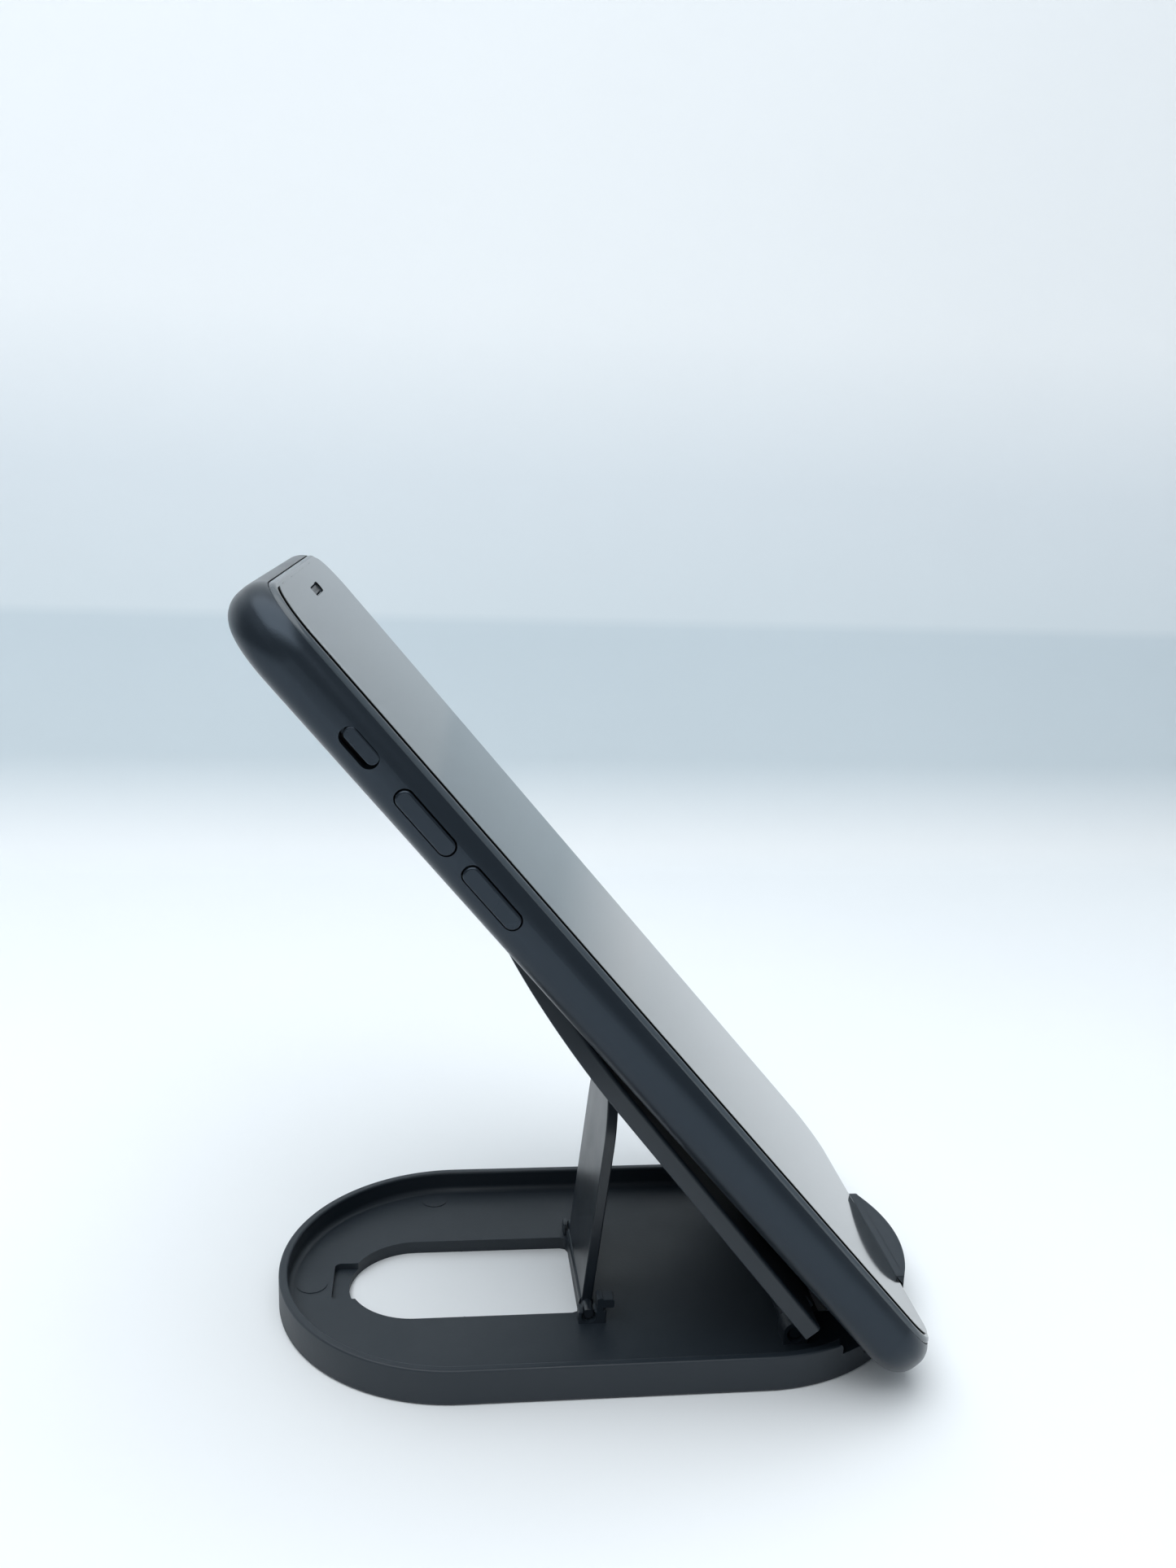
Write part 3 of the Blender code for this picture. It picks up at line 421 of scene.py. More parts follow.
@dataclass(frozen=True)
class Finish:
    """One surface: its material, its colours and how it was made."""

    name: str
    colour: str
    drift_colour: str
    roughness: float
    grain: Grain
    grain_mm: float
    relief_mm: float = 0.004
    roughness_drift: float = 0.05
    drift_mm: float = 14.0
    metallic: float = 0.0
    ior: float = 1.5
    coat: float = 0.0

    def build(self, frame: TiltedFrame) -> bpy.types.Material:
        """Make the material, with its pattern lined up with a frame.

        Args:
            frame: The frame that the pattern follows.
        """
        material = bpy.data.materials.new(self.name)
        material.use_nodes = True
        tree = material.node_tree
        shader = tree.nodes["Principled BSDF"]
        shader.inputs["Metallic"].default_value = self.metallic
        shader.inputs["Coat Weight"].default_value = self.coat
        if not self.metallic:
            shader.inputs["IOR"].default_value = self.ior
        place = add_node(tree, "ShaderNodeTexCoord").outputs["Object"]
        origin = Matrix.Rotation(-frame.turn, 3, "Y") @ frame.origin
        place = add_node(
            tree, "ShaderNodeMapping", {"Vector": place, "Rotation": (0, -frame.turn, 0), "Location": -origin}
        ).outputs[0]
        drift = add_node(
            tree, "ShaderNodeTexNoise", {"Vector": place, "Scale": 1 / (self.drift_mm * MM), "Detail": 4.0}
        ).outputs["Fac"]
        self.colour_in(tree, shader, place, drift)
        rough = add_node(
            tree, "ShaderNodeMapRange",
            {"Value": drift, "From Min": 0.3, "From Max": 0.7,
             "To Min": self.roughness - self.roughness_drift,
             "To Max": self.roughness + self.roughness_drift},
        ).outputs[0]
        tree.links.new(rough, shader.inputs["Roughness"])
        height = self.height(tree, place)
        bump = add_node(
            tree, "ShaderNodeBump", {"Height": height, "Strength": 1.0, "Distance": self.relief_mm * MM}
        ).outputs[0]
        tree.links.new(bump, shader.inputs["Normal"])
        return material

    def colour_in(
        self, tree: bpy.types.NodeTree, shader: bpy.types.Node, place: object, drift: object
    ) -> None:
        """Feed the shader's colour with the two colours, mixed by a slow drift or by the pattern.

        Args:
            tree: The node tree.
            shader: The Principled shader.
            place: The coordinates' output.
            drift: The slow noise's output.
        """
        amount = drift
        if self.grain in (Grain.TRACKED, Grain.WOVEN, Grain.RINGED):
            amount = self.height(tree, place)
        mixed = add_node(
            tree, "ShaderNodeMix",
            {"Factor": amount, 6: linear(self.colour), 7: linear(self.drift_colour)}, data_type="RGBA",
        ).outputs[2]
        tree.links.new(mixed, shader.inputs["Base Color"])

    def height(self, tree: bpy.types.NodeTree, place: object) -> object:
        """Return the output that gives the fine relief.

        Args:
            tree: The node tree.
            place: The coordinates' output.
        """
        scale = 1 / (self.grain_mm * MM)
        if self.grain is Grain.BLASTED:
            return add_node(
                tree, "ShaderNodeTexVoronoi", {"Vector": place, "Scale": scale}, feature="SMOOTH_F1"
            ).outputs["Distance"]
        if self.grain is Grain.BRUSHED:
            stretched = add_node(
                tree, "ShaderNodeMapping", {"Vector": place, "Scale": (1, 1, BRUSH_STRETCH)}
            ).outputs[0]
            return add_node(
                tree, "ShaderNodeTexNoise", {"Vector": stretched, "Scale": scale, "Detail": 3.0}
            ).outputs["Fac"]
        if self.grain is Grain.WOVEN:
            bands = [
                add_node(
                    tree, "ShaderNodeTexWave", {"Vector": place, "Scale": scale / WAVE_PHASE},
                    bands_direction=direction,
                ).outputs["Fac"]
                for direction in ("Y", "Z")
            ]
            return add_node(
                tree, "ShaderNodeMath", {0: bands[0], 1: bands[1]}, operation="MULTIPLY"
            ).outputs[0]
        if self.grain is Grain.TRACKED:
            turned = add_node(
                tree, "ShaderNodeMapping", {"Vector": place, "Rotation": (0, math.pi / 2, 0)}
            ).outputs[0]
            return add_node(
                tree, "ShaderNodeTexBrick",
                {"Vector": turned, "Scale": scale, "Color1": (0.1, 0.1, 0.1, 1), "Color2": (0.5, 0.5, 0.5, 1),
                 "Mortar": (1, 1, 1, 1), "Mortar Size": 0.03},
            ).outputs["Color"]
        if self.grain is Grain.RINGED:
            return add_node(
                tree, "ShaderNodeTexWave", {"Vector": place, "Scale": scale / WAVE_PHASE},
                wave_type="RINGS", rings_direction="X",
            ).outputs["Fac"]
        detail = 2.0 if self.grain is Grain.POLISHED else 6.0
        return add_node(
            tree, "ShaderNodeTexNoise", {"Vector": place, "Scale": scale, "Detail": detail}
        ).outputs["Fac"]


@dataclass(frozen=True)
class FilmFinish(Finish):
    """Clear film laid on black glass, with small air bubbles under one stretch of its edge."""

    bubble_mm: float = 0.42
    bubble_height_mm: float = 0.05
    band_edge_mm: float = -30.4
    band_inner_mm: float = -29.7
    band_start_mm: float = 119.0
    band_full_mm: float = 124.0

    def height(self, tree: bpy.types.NodeTree, place: object) -> object:
        """Return faint ripples, and the bubbles where the edge has them.

        Args:
            tree: The node tree.
            place: The coordinates' output, in the phone's own frame.
        """
        ripples = super().height(tree, place)
        parts = add_node(tree, "ShaderNodeSeparateXYZ", {0: place}).outputs
        across = add_node(
            tree, "ShaderNodeMapRange",
            {"Value": parts[Y], "From Min": self.band_edge_mm * MM, "From Max": self.band_inner_mm * MM,
             "To Min": 1.0, "To Max": 0.0},
        ).outputs[0]
        along = add_node(
            tree, "ShaderNodeMapRange",
            {"Value": parts[Z], "From Min": self.band_start_mm * MM, "From Max": self.band_full_mm * MM},
        ).outputs[0]
        cells = add_node(
            tree, "ShaderNodeTexVoronoi", {"Vector": place, "Scale": 1 / (self.bubble_mm * MM)},
            feature="SMOOTH_F1",
        ).outputs["Distance"]
        band = add_node(tree, "ShaderNodeMath", {0: across, 1: along}, operation="MULTIPLY").outputs[0]
        bubbles = add_node(tree, "ShaderNodeMath", {0: cells, 1: band}, operation="MULTIPLY").outputs[0]
        share = self.bubble_height_mm / self.relief_mm
        return add_node(
            tree, "ShaderNodeMath", {0: bubbles, 1: share, 2: ripples}, operation="MULTIPLY_ADD"
        ).outputs[0]


class FinishBook:
    """Every finish of the object, each made into a material once for each frame it is used in."""

    finishes = {
        finish.name: finish for finish in (
            # ABS, injection moulded: a satin black that greys where light grazes it, with faint flow marks.
            Finish("abs_moulded_satin", "#182129", "#1d262e", 0.50, Grain.MOULDED, 0.45, 0.012, 0.05, 16.0),
            # The same ABS against a smoother tool face: the leg's broad sides throw a soft sheen.
            Finish("abs_moulded_sheen", "#171e25", "#1d242b", 0.33, Grain.MOULDED, 0.9, 0.006, 0.04, 9.0),
            # Anodised aluminium, bead blasted: black with a fine sparkle and long soft highlights.
            Finish("aluminium_anodised_black", "#293139", "#2e363e", 0.31, Grain.BLASTED, 0.16, 0.006,
                   0.03, 20.0, metallic=0.7),
            # The keys: the same anodising over polished edges, a little glossier.
            Finish("aluminium_anodised_keys", "#283038", "#2d353d", 0.26, Grain.BLASTED, 0.16, 0.004,
                   0.03, 8.0, metallic=0.7),
            # Chemically hardened float glass over a black print: deep black with sharp reflections.
            Finish("glass_float_black", "#07090b", "#0a0c0e", 0.05, Grain.POLISHED, 30.0, 0.002, 0.02,
                   26.0, ior=1.51),
            # The same glass where its rim is ground round, coloured mid-grey as a painted highlight: the
            # silvery reflection that the rounded rim catches, a soft grey line along the front.
            Finish("glass_rim_painted_highlight", "#3d454b", "#454d53", 0.22, Grain.POLISHED, 6.0, 0.002, 0.03,
                   12.0, ior=1.51),
            # PET film on that glass: the same black seen through it, with a slightly softer reflection.
            FilmFinish("pet_film_on_glass", "#0a0d0f", "#0e1113", 0.06, Grain.POLISHED, 24.0, 0.003, 0.025,
                       22.0, ior=1.53),
            # The film's cut edge: light enters it and leaves through the black below, so it looks near black.
            Finish("pet_film_cut_edge", "#050607", "#08090a", 0.45, Grain.POLISHED, 1.0, 0.002, 0.03,
                   3.0, ior=1.53),
            # Display panel behind the glass, switched off: near black with a soft bloom.
            Finish("display_panel_off", "#0b0d10", "#101318", 0.22, Grain.POLISHED, 8.0, 0.002, 0.05, 12.0),
            # Stainless steel sheet, rolled: fine lines along the sheet.
            Finish("steel_rolled", "#b9b8b4", "#a4a3a0", 0.34, Grain.BRUSHED, 0.12, 0.003, 0.06, 6.0,
                   metallic=1.0),
            # Battery pouch: matt black polymer foil, slightly crinkled.
            Finish("battery_foil_matt", "#1c1c1e", "#242427", 0.52, Grain.MOULDED, 3.0, 0.03, 0.06, 10.0),
            # Glass-epoxy board under solder mask: dark green with paler copper tracks.
            Finish("board_solder_mask", "#0d2a1c", "#1e4a31", 0.40, Grain.TRACKED, 2.4, 0.02, 0.05, 8.0),
            # Filled nylon housings of small modules: flat black with a fine grain.
            Finish("nylon_black", "#161617", "#1d1d1f", 0.46, Grain.MOULDED, 0.3, 0.01, 0.05, 5.0),
            # Woven stainless mesh, drawn far coarser than it is, with a wave every 1.4 mm, so that it shows.
            Finish("steel_mesh_woven", "#18191b", "#5a5d61", 0.40, Grain.WOVEN, 0.22, 0.04, 0.05, 4.0,
                   metallic=1.0),
            # Gold flash over copper: warm and slightly mottled.
            Finish("copper_gold_flash", "#c79a4b", "#b98a3c", 0.30, Grain.BRUSHED, 0.3, 0.004, 0.06, 3.0,
                   metallic=1.0),
            # Moulded polycarbonate window over pale phosphor: cream, palest 1.1 mm from its middle.
            Finish("polycarbonate_fresnel", "#d9d2ae", "#efe9cf", 0.16, Grain.RINGED, 0.35, 0.03, 0.03, 3.0,
                   ior=1.58),
            # Sapphire window with dark optics under it: blue-black, a shade lighter towards its rim.
            Finish("sapphire_over_optics", "#050609", "#10141c", 0.04, Grain.RINGED, 1.3, 0.002, 0.01, 4.0,
                   ior=1.76),
        )
    }

    def __init__(self) -> None:
        """Start with no materials made."""
        self.made: dict[tuple, bpy.types.Material] = {}

    def material(self, name: str, frame: TiltedFrame) -> bpy.types.Material:
        """Return a finish as a material whose pattern is lined up with a frame.

        Args:
            name: The finish's name.
            frame: The frame that the pattern follows.
        """
        key = (name, tuple(round(value, 6) for value in frame.origin), round(frame.turn, 6))
        if key not in self.made:
            self.made[key] = self.finishes[name].build(frame)
        return self.made[key]


# ---- sub-assemblies -----------------------------------------------------------------------------

@dataclass
class SubAssembly:
    """What every sub-assembly works with: the frame's nodes, the finishes and its own frame."""

    nodes: dict[str, Piece]
    book: FinishBook
    place: TiltedFrame

    def box(self, node: str) -> tuple[Vector, Vector]:
        """Return a node's lowest and highest corners in this sub-assembly's frame."""
        return self.place.box(self.nodes[node])

    def fit(self, piece: Piece, finish: str, slot: str, node: str, pattern: Vector | None = None) -> Piece:
        """Put a finished piece in place, dress it, and let it stand for its node and ride with it.

        Args:
            piece: The piece, modelled in this sub-assembly's frame.
            finish: The name of its finish.
            slot: The record's material slot for this piece; not used.
            node: The CAD node that it stands for.
            pattern: The pattern's centre in this frame, if not its origin.

        Returns:
            The piece.
        """
        settle(smooth(piece), self.place.matrix)
        centre = self.place if pattern is None else TiltedFrame(self.place.matrix @ pattern, self.place.turn)
        piece.data.materials.clear()
        piece.data.materials.append(self.book.material(finish, centre))
        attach(piece, self.nodes[node]["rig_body"])
        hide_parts(node)
        LOG.info("%s stands for %s, %d faces", piece.name, node, len(piece.data.polygons))
        return piece

    def dress_node(self, node: str, finish: str) -> None:
        """Give a carried-over CAD node its finish."""
        self.nodes[node].data.materials.clear()
        self.nodes[node].data.materials.append(self.book.material(finish, self.place))


@dataclass
class StandTray(SubAssembly):
    """The tray that the stand rests on, with its lip, cut-out, clips and lugs. Sizes are in millimetres."""

    wall: float = 1.3
    floor: float = 2.0
    rim_top: float = 5.4
    rim_round: float = 0.35
    floor_fillet: float = 0.9
    foot_round: float = 0.5
    lip_half_width: float = 11.8
    lip_rear: float = 38.0
    lip_corner: float = 0.5
    lip_clearance: float = 0.12
    mid_rim: tuple[float, float] = (32.2, 3.8)
    low_rim: tuple[float, float] = (36.0, 2.2)
    step_round: float = 0.8
    opening_half_width: float = 10.0
    opening_front: float = -3.3
    opening_rear: float = -37.6
    opening_corner: float = 1.2
    recess_rear: float = -40.0
    recess_half_width: float = 4.6
    recess_floor: float = 1.0
    ejector_marks: tuple[Corner, ...] = ((-43.1, -0.6, 2.3), (-24.7, 22.4, 2.1))
    ejector_height: float = 0.1
    clip_inner: float = 10.6
    clip_outer: float = 12.8
    clip_rear: float = 1.5
    clip_front: float = 2.6
    clip_top: float = 3.9
    clip_neck: tuple[float, float] = (1.2, 2.1)
    clip_arm: tuple[float, float] = (1.4, 3.7)
    clip_arm_bottom: float = 4.5
    clip_neck_top: float = 6.0
    clip_arm_drop: float = 0.2
    pin_bore: float = 1.1
    mouth_narrowing: float = 0.3
    lug_inner: float = 16.2
    lug_outer: float = 19.4
    lug_half_length: float = 1.8
    lug_top: float = 5.4
    lug_corner: float = 1.6
    lug_bore: float = 1.3
    small_round: float = 0.3

    def build(self, leg_axis: Vector, plate_axis: Vector, phone: TiltedFrame) -> None:
        """Mould the tray and fit it.

        Args:
            leg_axis: A point on the leg's hinge axis.
            plate_axis: A point on the back plate's hinge axis.
            phone: The phone's frame, along which the lip slopes.
        """
        low, high = self.box("base_tray")
        tray = slab("base_tray_moulding", low, high, corner=high.y, segments=40,
                    low_edge=self.foot_round * MM)
        wall, half = self.wall * MM, self.lip_half_width * MM
        room = slab("tray_hollow", (low.x + wall, low.y + wall, self.floor * MM),
                    (high.x - wall, high.y - wall, 2 * high.z), corner=high.y - wall, segments=40,
                    low_edge=self.floor_fillet * MM)
        combine(room, slab("lip_block", (self.lip_rear * MM, -half, 0), (2 * high.x, half, 3 * high.z)))
        combine(tray, room)
        self.lower_rim(tray, high)
        self.slope_lip(tray, phone)
        for level in (self.rim_top * MM, high.z):
            round_level(tray, level, self.rim_round * MM, 3)
        self.open_floor(tray)
        self.mark_ejectors(tray)
        for side in (-1, 1):
            self.add_clip(tray, leg_axis, side)
            self.add_lug(tray, plate_axis, side)
        self.fit(tray, "abs_moulded_satin", "stand_plastic", "base_tray")

    def lower_rim(self, tray: Piece, high: Vector) -> None:
        """Cut the rim down all round but for the lip that catches the phone, with soft steps.

        Args:
            tray: The tray, whose wall is as high as the lip all round.
            high: Its highest corner.
        """
        start, top = self.mid_rim[0] * MM, self.rim_top * MM
        half, reach = self.lip_half_width * MM, 2 * high.x
        combine(tray, slab("rim_trim", (-reach, -reach, top), (start + MM, reach, reach)))
        for side in (-1, 1):
            for drop_at, level in (self.mid_rim, self.low_rim):
                combine(tray, slab("rim_drop", (drop_at * MM, side * half, level * MM),
                                   (reach, side * reach, reach)))
        self.soften(tray, self.step_round, lambda v: (
            abs(v.co.x - start) < TOUCH and abs(v.co.z - top) < TOUCH))
        self.soften(tray, self.lip_corner, lambda v: (
            abs(abs(v.co.y) - half) < TOUCH and abs(v.co.z - high.z) < TOUCH))

    def slope_lip(self, tray: Piece, phone: TiltedFrame) -> None:
        """Cut the lip's inner side along the phone's foot, a clearance away from it.

        Args:
            tray: The tray.
            phone: The phone's frame.
        """
        half, gap = (self.lip_half_width + 1) * MM, self.lip_clearance * MM
        combine(tray, settle(slab("lip_room", (-half, -half, -gap), (gap, half, half)), phone.matrix))

    def soften(self, tray: Piece, radius: float, test: Callable) -> None:
        """Round the edges whose two ends both pass a test.

        Args:
            tray: The tray.
            radius: The radius of the rounding in millimetres.
            test: Takes one vertex and says whether it lies on a wanted edge.
        """
        with editing(tray):
            pick(tray, Element.EDGES, lambda edge: all(test(vert) for vert in edge.verts))
            round_over(radius * MM, 6)

    def open_floor(self, tray: Piece) -> None:
        """Cut the opening that the leg folds into, and the finger recess behind it.

        Args:
            tray: The tray.
        """
        half, rear, front = self.opening_half_width * MM, self.opening_rear * MM, self.opening_front * MM
        middle = (rear + front) / 2
        depth = self.floor * 2 * MM
        round_end = slab("opening_rear", (rear, -half, -depth), (front + 2 * half, half, depth), corner=half,
                         segments=24)
        trim = slab("opening_trim", (middle, -2 * half, -2 * depth), (front + 4 * half, 2 * half, 2 * depth))
        combine(round_end, trim)
        square_end = slab("opening_front", (middle - MM, -half, -depth), (front, half, depth),
                          corner=self.opening_corner * MM, segments=2)
        combine(tray, round_end)
        combine(tray, square_end)
        side = self.recess_half_width * MM
        recess = slab("finger_recess", (self.recess_rear * MM, -side, self.recess_floor * MM),
                      (rear + 3 * MM, side, depth), corner=3 * self.small_round * MM, segments=5)
        combine(tray, recess)

    def mark_ejectors(self, tray: Piece) -> None:
        """Add the faint round marks, just proud of the floor, that the mould's ejector pins leave.

        Args:
            tray: The tray.
        """
        for x, y, radius in self.ejector_marks:
            centre = Vector((x, y, self.floor + self.ejector_height - self.floor / 2)) * MM
            mark = disc("ejector_mark", centre, radius * MM, self.floor * MM, axis=Z, sides=48)
            combine(tray, mark, Combine.JOIN)

    def add_clip(self, tray: Piece, axis: Vector, side: int) -> None:
        """Add an open-topped clip for one of the leg's pins, with a short arm towards the front.

        Args:
            tray: The tray.
            axis: A point on the leg's hinge axis.
            side: -1 for the -Y side and 1 for the +Y side.
        """
        near, far = side * self.clip_inner * MM, side * self.clip_outer * MM
        block_rear, block_front = axis.x - self.clip_rear * MM, axis.x + self.clip_front * MM
        top, soft = self.clip_top * MM, self.small_round * MM
        clip = slab("clip", (block_rear, near, MM), (block_front, far, top), corner=soft, segments=3,
                    high_edge=soft / 2, edge_segments=2)
        neck_top = self.clip_neck_top * MM
        neck_rear, neck_front = (axis.x + reach * MM for reach in self.clip_neck)
        neck = slab("clip_neck", (neck_rear, near, self.floor * MM), (neck_front, far, neck_top), axis=Y,
                    corner=soft, segments=3)
        combine(clip, neck, Combine.JOIN)
        arm_top = neck_top - self.clip_arm_drop * MM
        arm_rear, arm_front = (axis.x + reach * MM for reach in self.clip_arm)
        arm = slab("clip_arm", (arm_rear, near, self.clip_arm_bottom * MM), (arm_front, far, arm_top),
                   axis=Y, corner=soft, segments=3)
        combine(clip, arm, Combine.JOIN)
        middle = Vector((axis.x, (near + far) / 2, axis.z))
        bore = disc("clip_bore", middle, self.pin_bore * MM, 4 * MM, axis=Y, sides=40)
        combine(clip, bore)
        mouth = (self.pin_bore - self.mouth_narrowing) * MM
        combine(clip, slab("clip_mouth", (axis.x - mouth, near - side * MM, axis.z),
                           (axis.x + mouth, far + side * MM, top + MM)))
        combine(tray, clip, Combine.JOIN)

    def add_lug(self, tray: Piece, axis: Vector, side: int) -> None:
        """Add a round-topped lug for one of the back plate's pins.

        Args:
            tray: The tray.
            axis: A point on the plate's hinge axis.
            side: -1 for the -Y side and 1 for the +Y side.
        """
        near, far = side * self.lug_inner * MM, side * self.lug_outer * MM
        half = self.lug_half_length * MM
        lug = slab("lug", (axis.x - half, near, -3 * MM), (axis.x + half, far, self.lug_top * MM), axis=Y,
                   corner=self.lug_corner * MM, segments=8)
        foot = slab("lug_foot", (axis.x - 2 * half, 0, -9 * MM), (axis.x + 2 * half, 2 * far, MM))
        combine(lug, foot)
        middle = Vector((axis.x, (near + far) / 2, axis.z))
        combine(lug, disc("lug_bore", middle, self.lug_bore * MM, 6 * MM, axis=Y, sides=40))
        combine(tray, lug, Combine.JOIN)


@dataclass
class BackPlate(SubAssembly):
    """The plate that the phone leans on, modelled folded flat. Sizes are in mm, from the hinge axis."""

    wall: float = 1.3
    skin: float = 1.2
    edge: float = 0.6
    rim_round: float = 0.25
    inner_fillet: float = 0.5
    tongue_half_width: float = 15.6
    tongue_rear: float = -7.3
    tongue_front: float = 0.6
    tongue_bottom: float = 0.8
    tongue_drop: float = 0.6
    tongue_corner: float = 0.3
    front_cut: float = -4.0
    rim_level: float = 2.0
    top_level: float = 4.6
    barrel: float = 1.4
    barrel_shortening: float = 0.5
    pin: float = 1.0
    pin_half_length: float = 19.0
    pin_edge: float = 0.2

    def build(self) -> None:
        """Mould the plate and fit it."""
        low, high = self.box("backrest_plate")
        top, rim = self.top_level * MM, self.rim_level * MM
        radius = max(high.y, -low.y)
        plate = slab("backrest_plate_moulding", (low.x, -radius, rim), (low.x + 4 * radius, radius, top),
                     corner=radius, segments=40, high_edge=self.edge * MM, edge_segments=4)
        hollow(plate, rim, self.wall * MM, top - self.skin * MM)
        round_level(plate, rim, self.rim_round * MM, 3)
        round_level(plate, top - self.skin * MM, self.inner_fillet * MM, 3)
        combine(plate, slab("plate_front_cut", (self.front_cut * MM, -2 * radius, -9 * MM),
                            (6 * radius, 2 * radius, 9 * MM)))
        half = self.tongue_half_width * MM
        tongue = slab("tongue", (self.tongue_rear * MM, -half, self.tongue_bottom * MM),
                      (self.tongue_front * MM, half, top - self.tongue_drop * MM), axis=Y,
                      corner=self.tongue_corner * MM, segments=3)
        combine(plate, tongue, Combine.JOIN)
        width = 2 * half - self.barrel_shortening * MM
        barrel = disc("plate_barrel", Vector(), self.barrel * MM, width, axis=Y, sides=48)
        combine(plate, barrel, Combine.JOIN)
        pins = disc("plate_pins", Vector(), self.pin * MM, 2 * self.pin_half_length * MM, axis=Y, sides=40,
                    low_edge=self.pin_edge * MM, high_edge=self.pin_edge * MM)
        combine(plate, pins, Combine.JOIN)
        self.fit(plate, "abs_moulded_satin", "stand_plastic", "backrest_plate")


@dataclass
class SupportLeg(SubAssembly):
    """The leg that props the plate, modelled folded flat. Sizes are in millimetres, from the hinge axis."""

    half_width: float = 9.6
    thickness: float = 1.6
    length: float = 34.8
    tab_half_width: float = 4.2
    tab_thickness: float = 1.0
    tab_corner: float = 0.2
    barrel: float = 1.1
    barrel_shortening: float = 0.5
    pin: float = 0.8
    pin_edge: float = 0.15
    edge: float = 0.25

    def build(self) -> None:
        """Mould the leg and fit it."""
        low, high = self.box("support_leg")
        half, thick = self.half_width * MM, self.thickness * MM / 2
        length, edge = self.length * MM, self.edge * MM
        leg = slab("support_leg_moulding", (-length, -half, -thick), (length, half, thick), corner=half,
                   segments=32, low_edge=edge, high_edge=edge, edge_segments=3)
        combine(leg, slab("leg_cut", (0, -2 * half, -9 * MM), (2 * length, 2 * half, 9 * MM)))
        tab, tab_thick = self.tab_half_width * MM, self.tab_thickness * MM / 2
        tip = slab("leg_tab", (low.x, -tab, -tab_thick), (3 * MM - length, tab, tab_thick), axis=Y,
                   corner=self.tab_corner * MM, segments=3)
        combine(leg, tip, Combine.JOIN)
        width = 2 * half - self.barrel_shortening * MM
        barrel = disc("leg_barrel", Vector(), self.barrel * MM, width, axis=Y, sides=40)
        combine(leg, barrel, Combine.JOIN)
        pins = disc("leg_pins", Vector(), self.pin * MM, high.y - low.y, axis=Y, sides=32,
                    low_edge=self.pin_edge * MM, high_edge=self.pin_edge * MM)
        combine(leg, pins, Combine.JOIN)
        self.fit(leg, "abs_moulded_sheen", "stand_plastic", "support_leg")


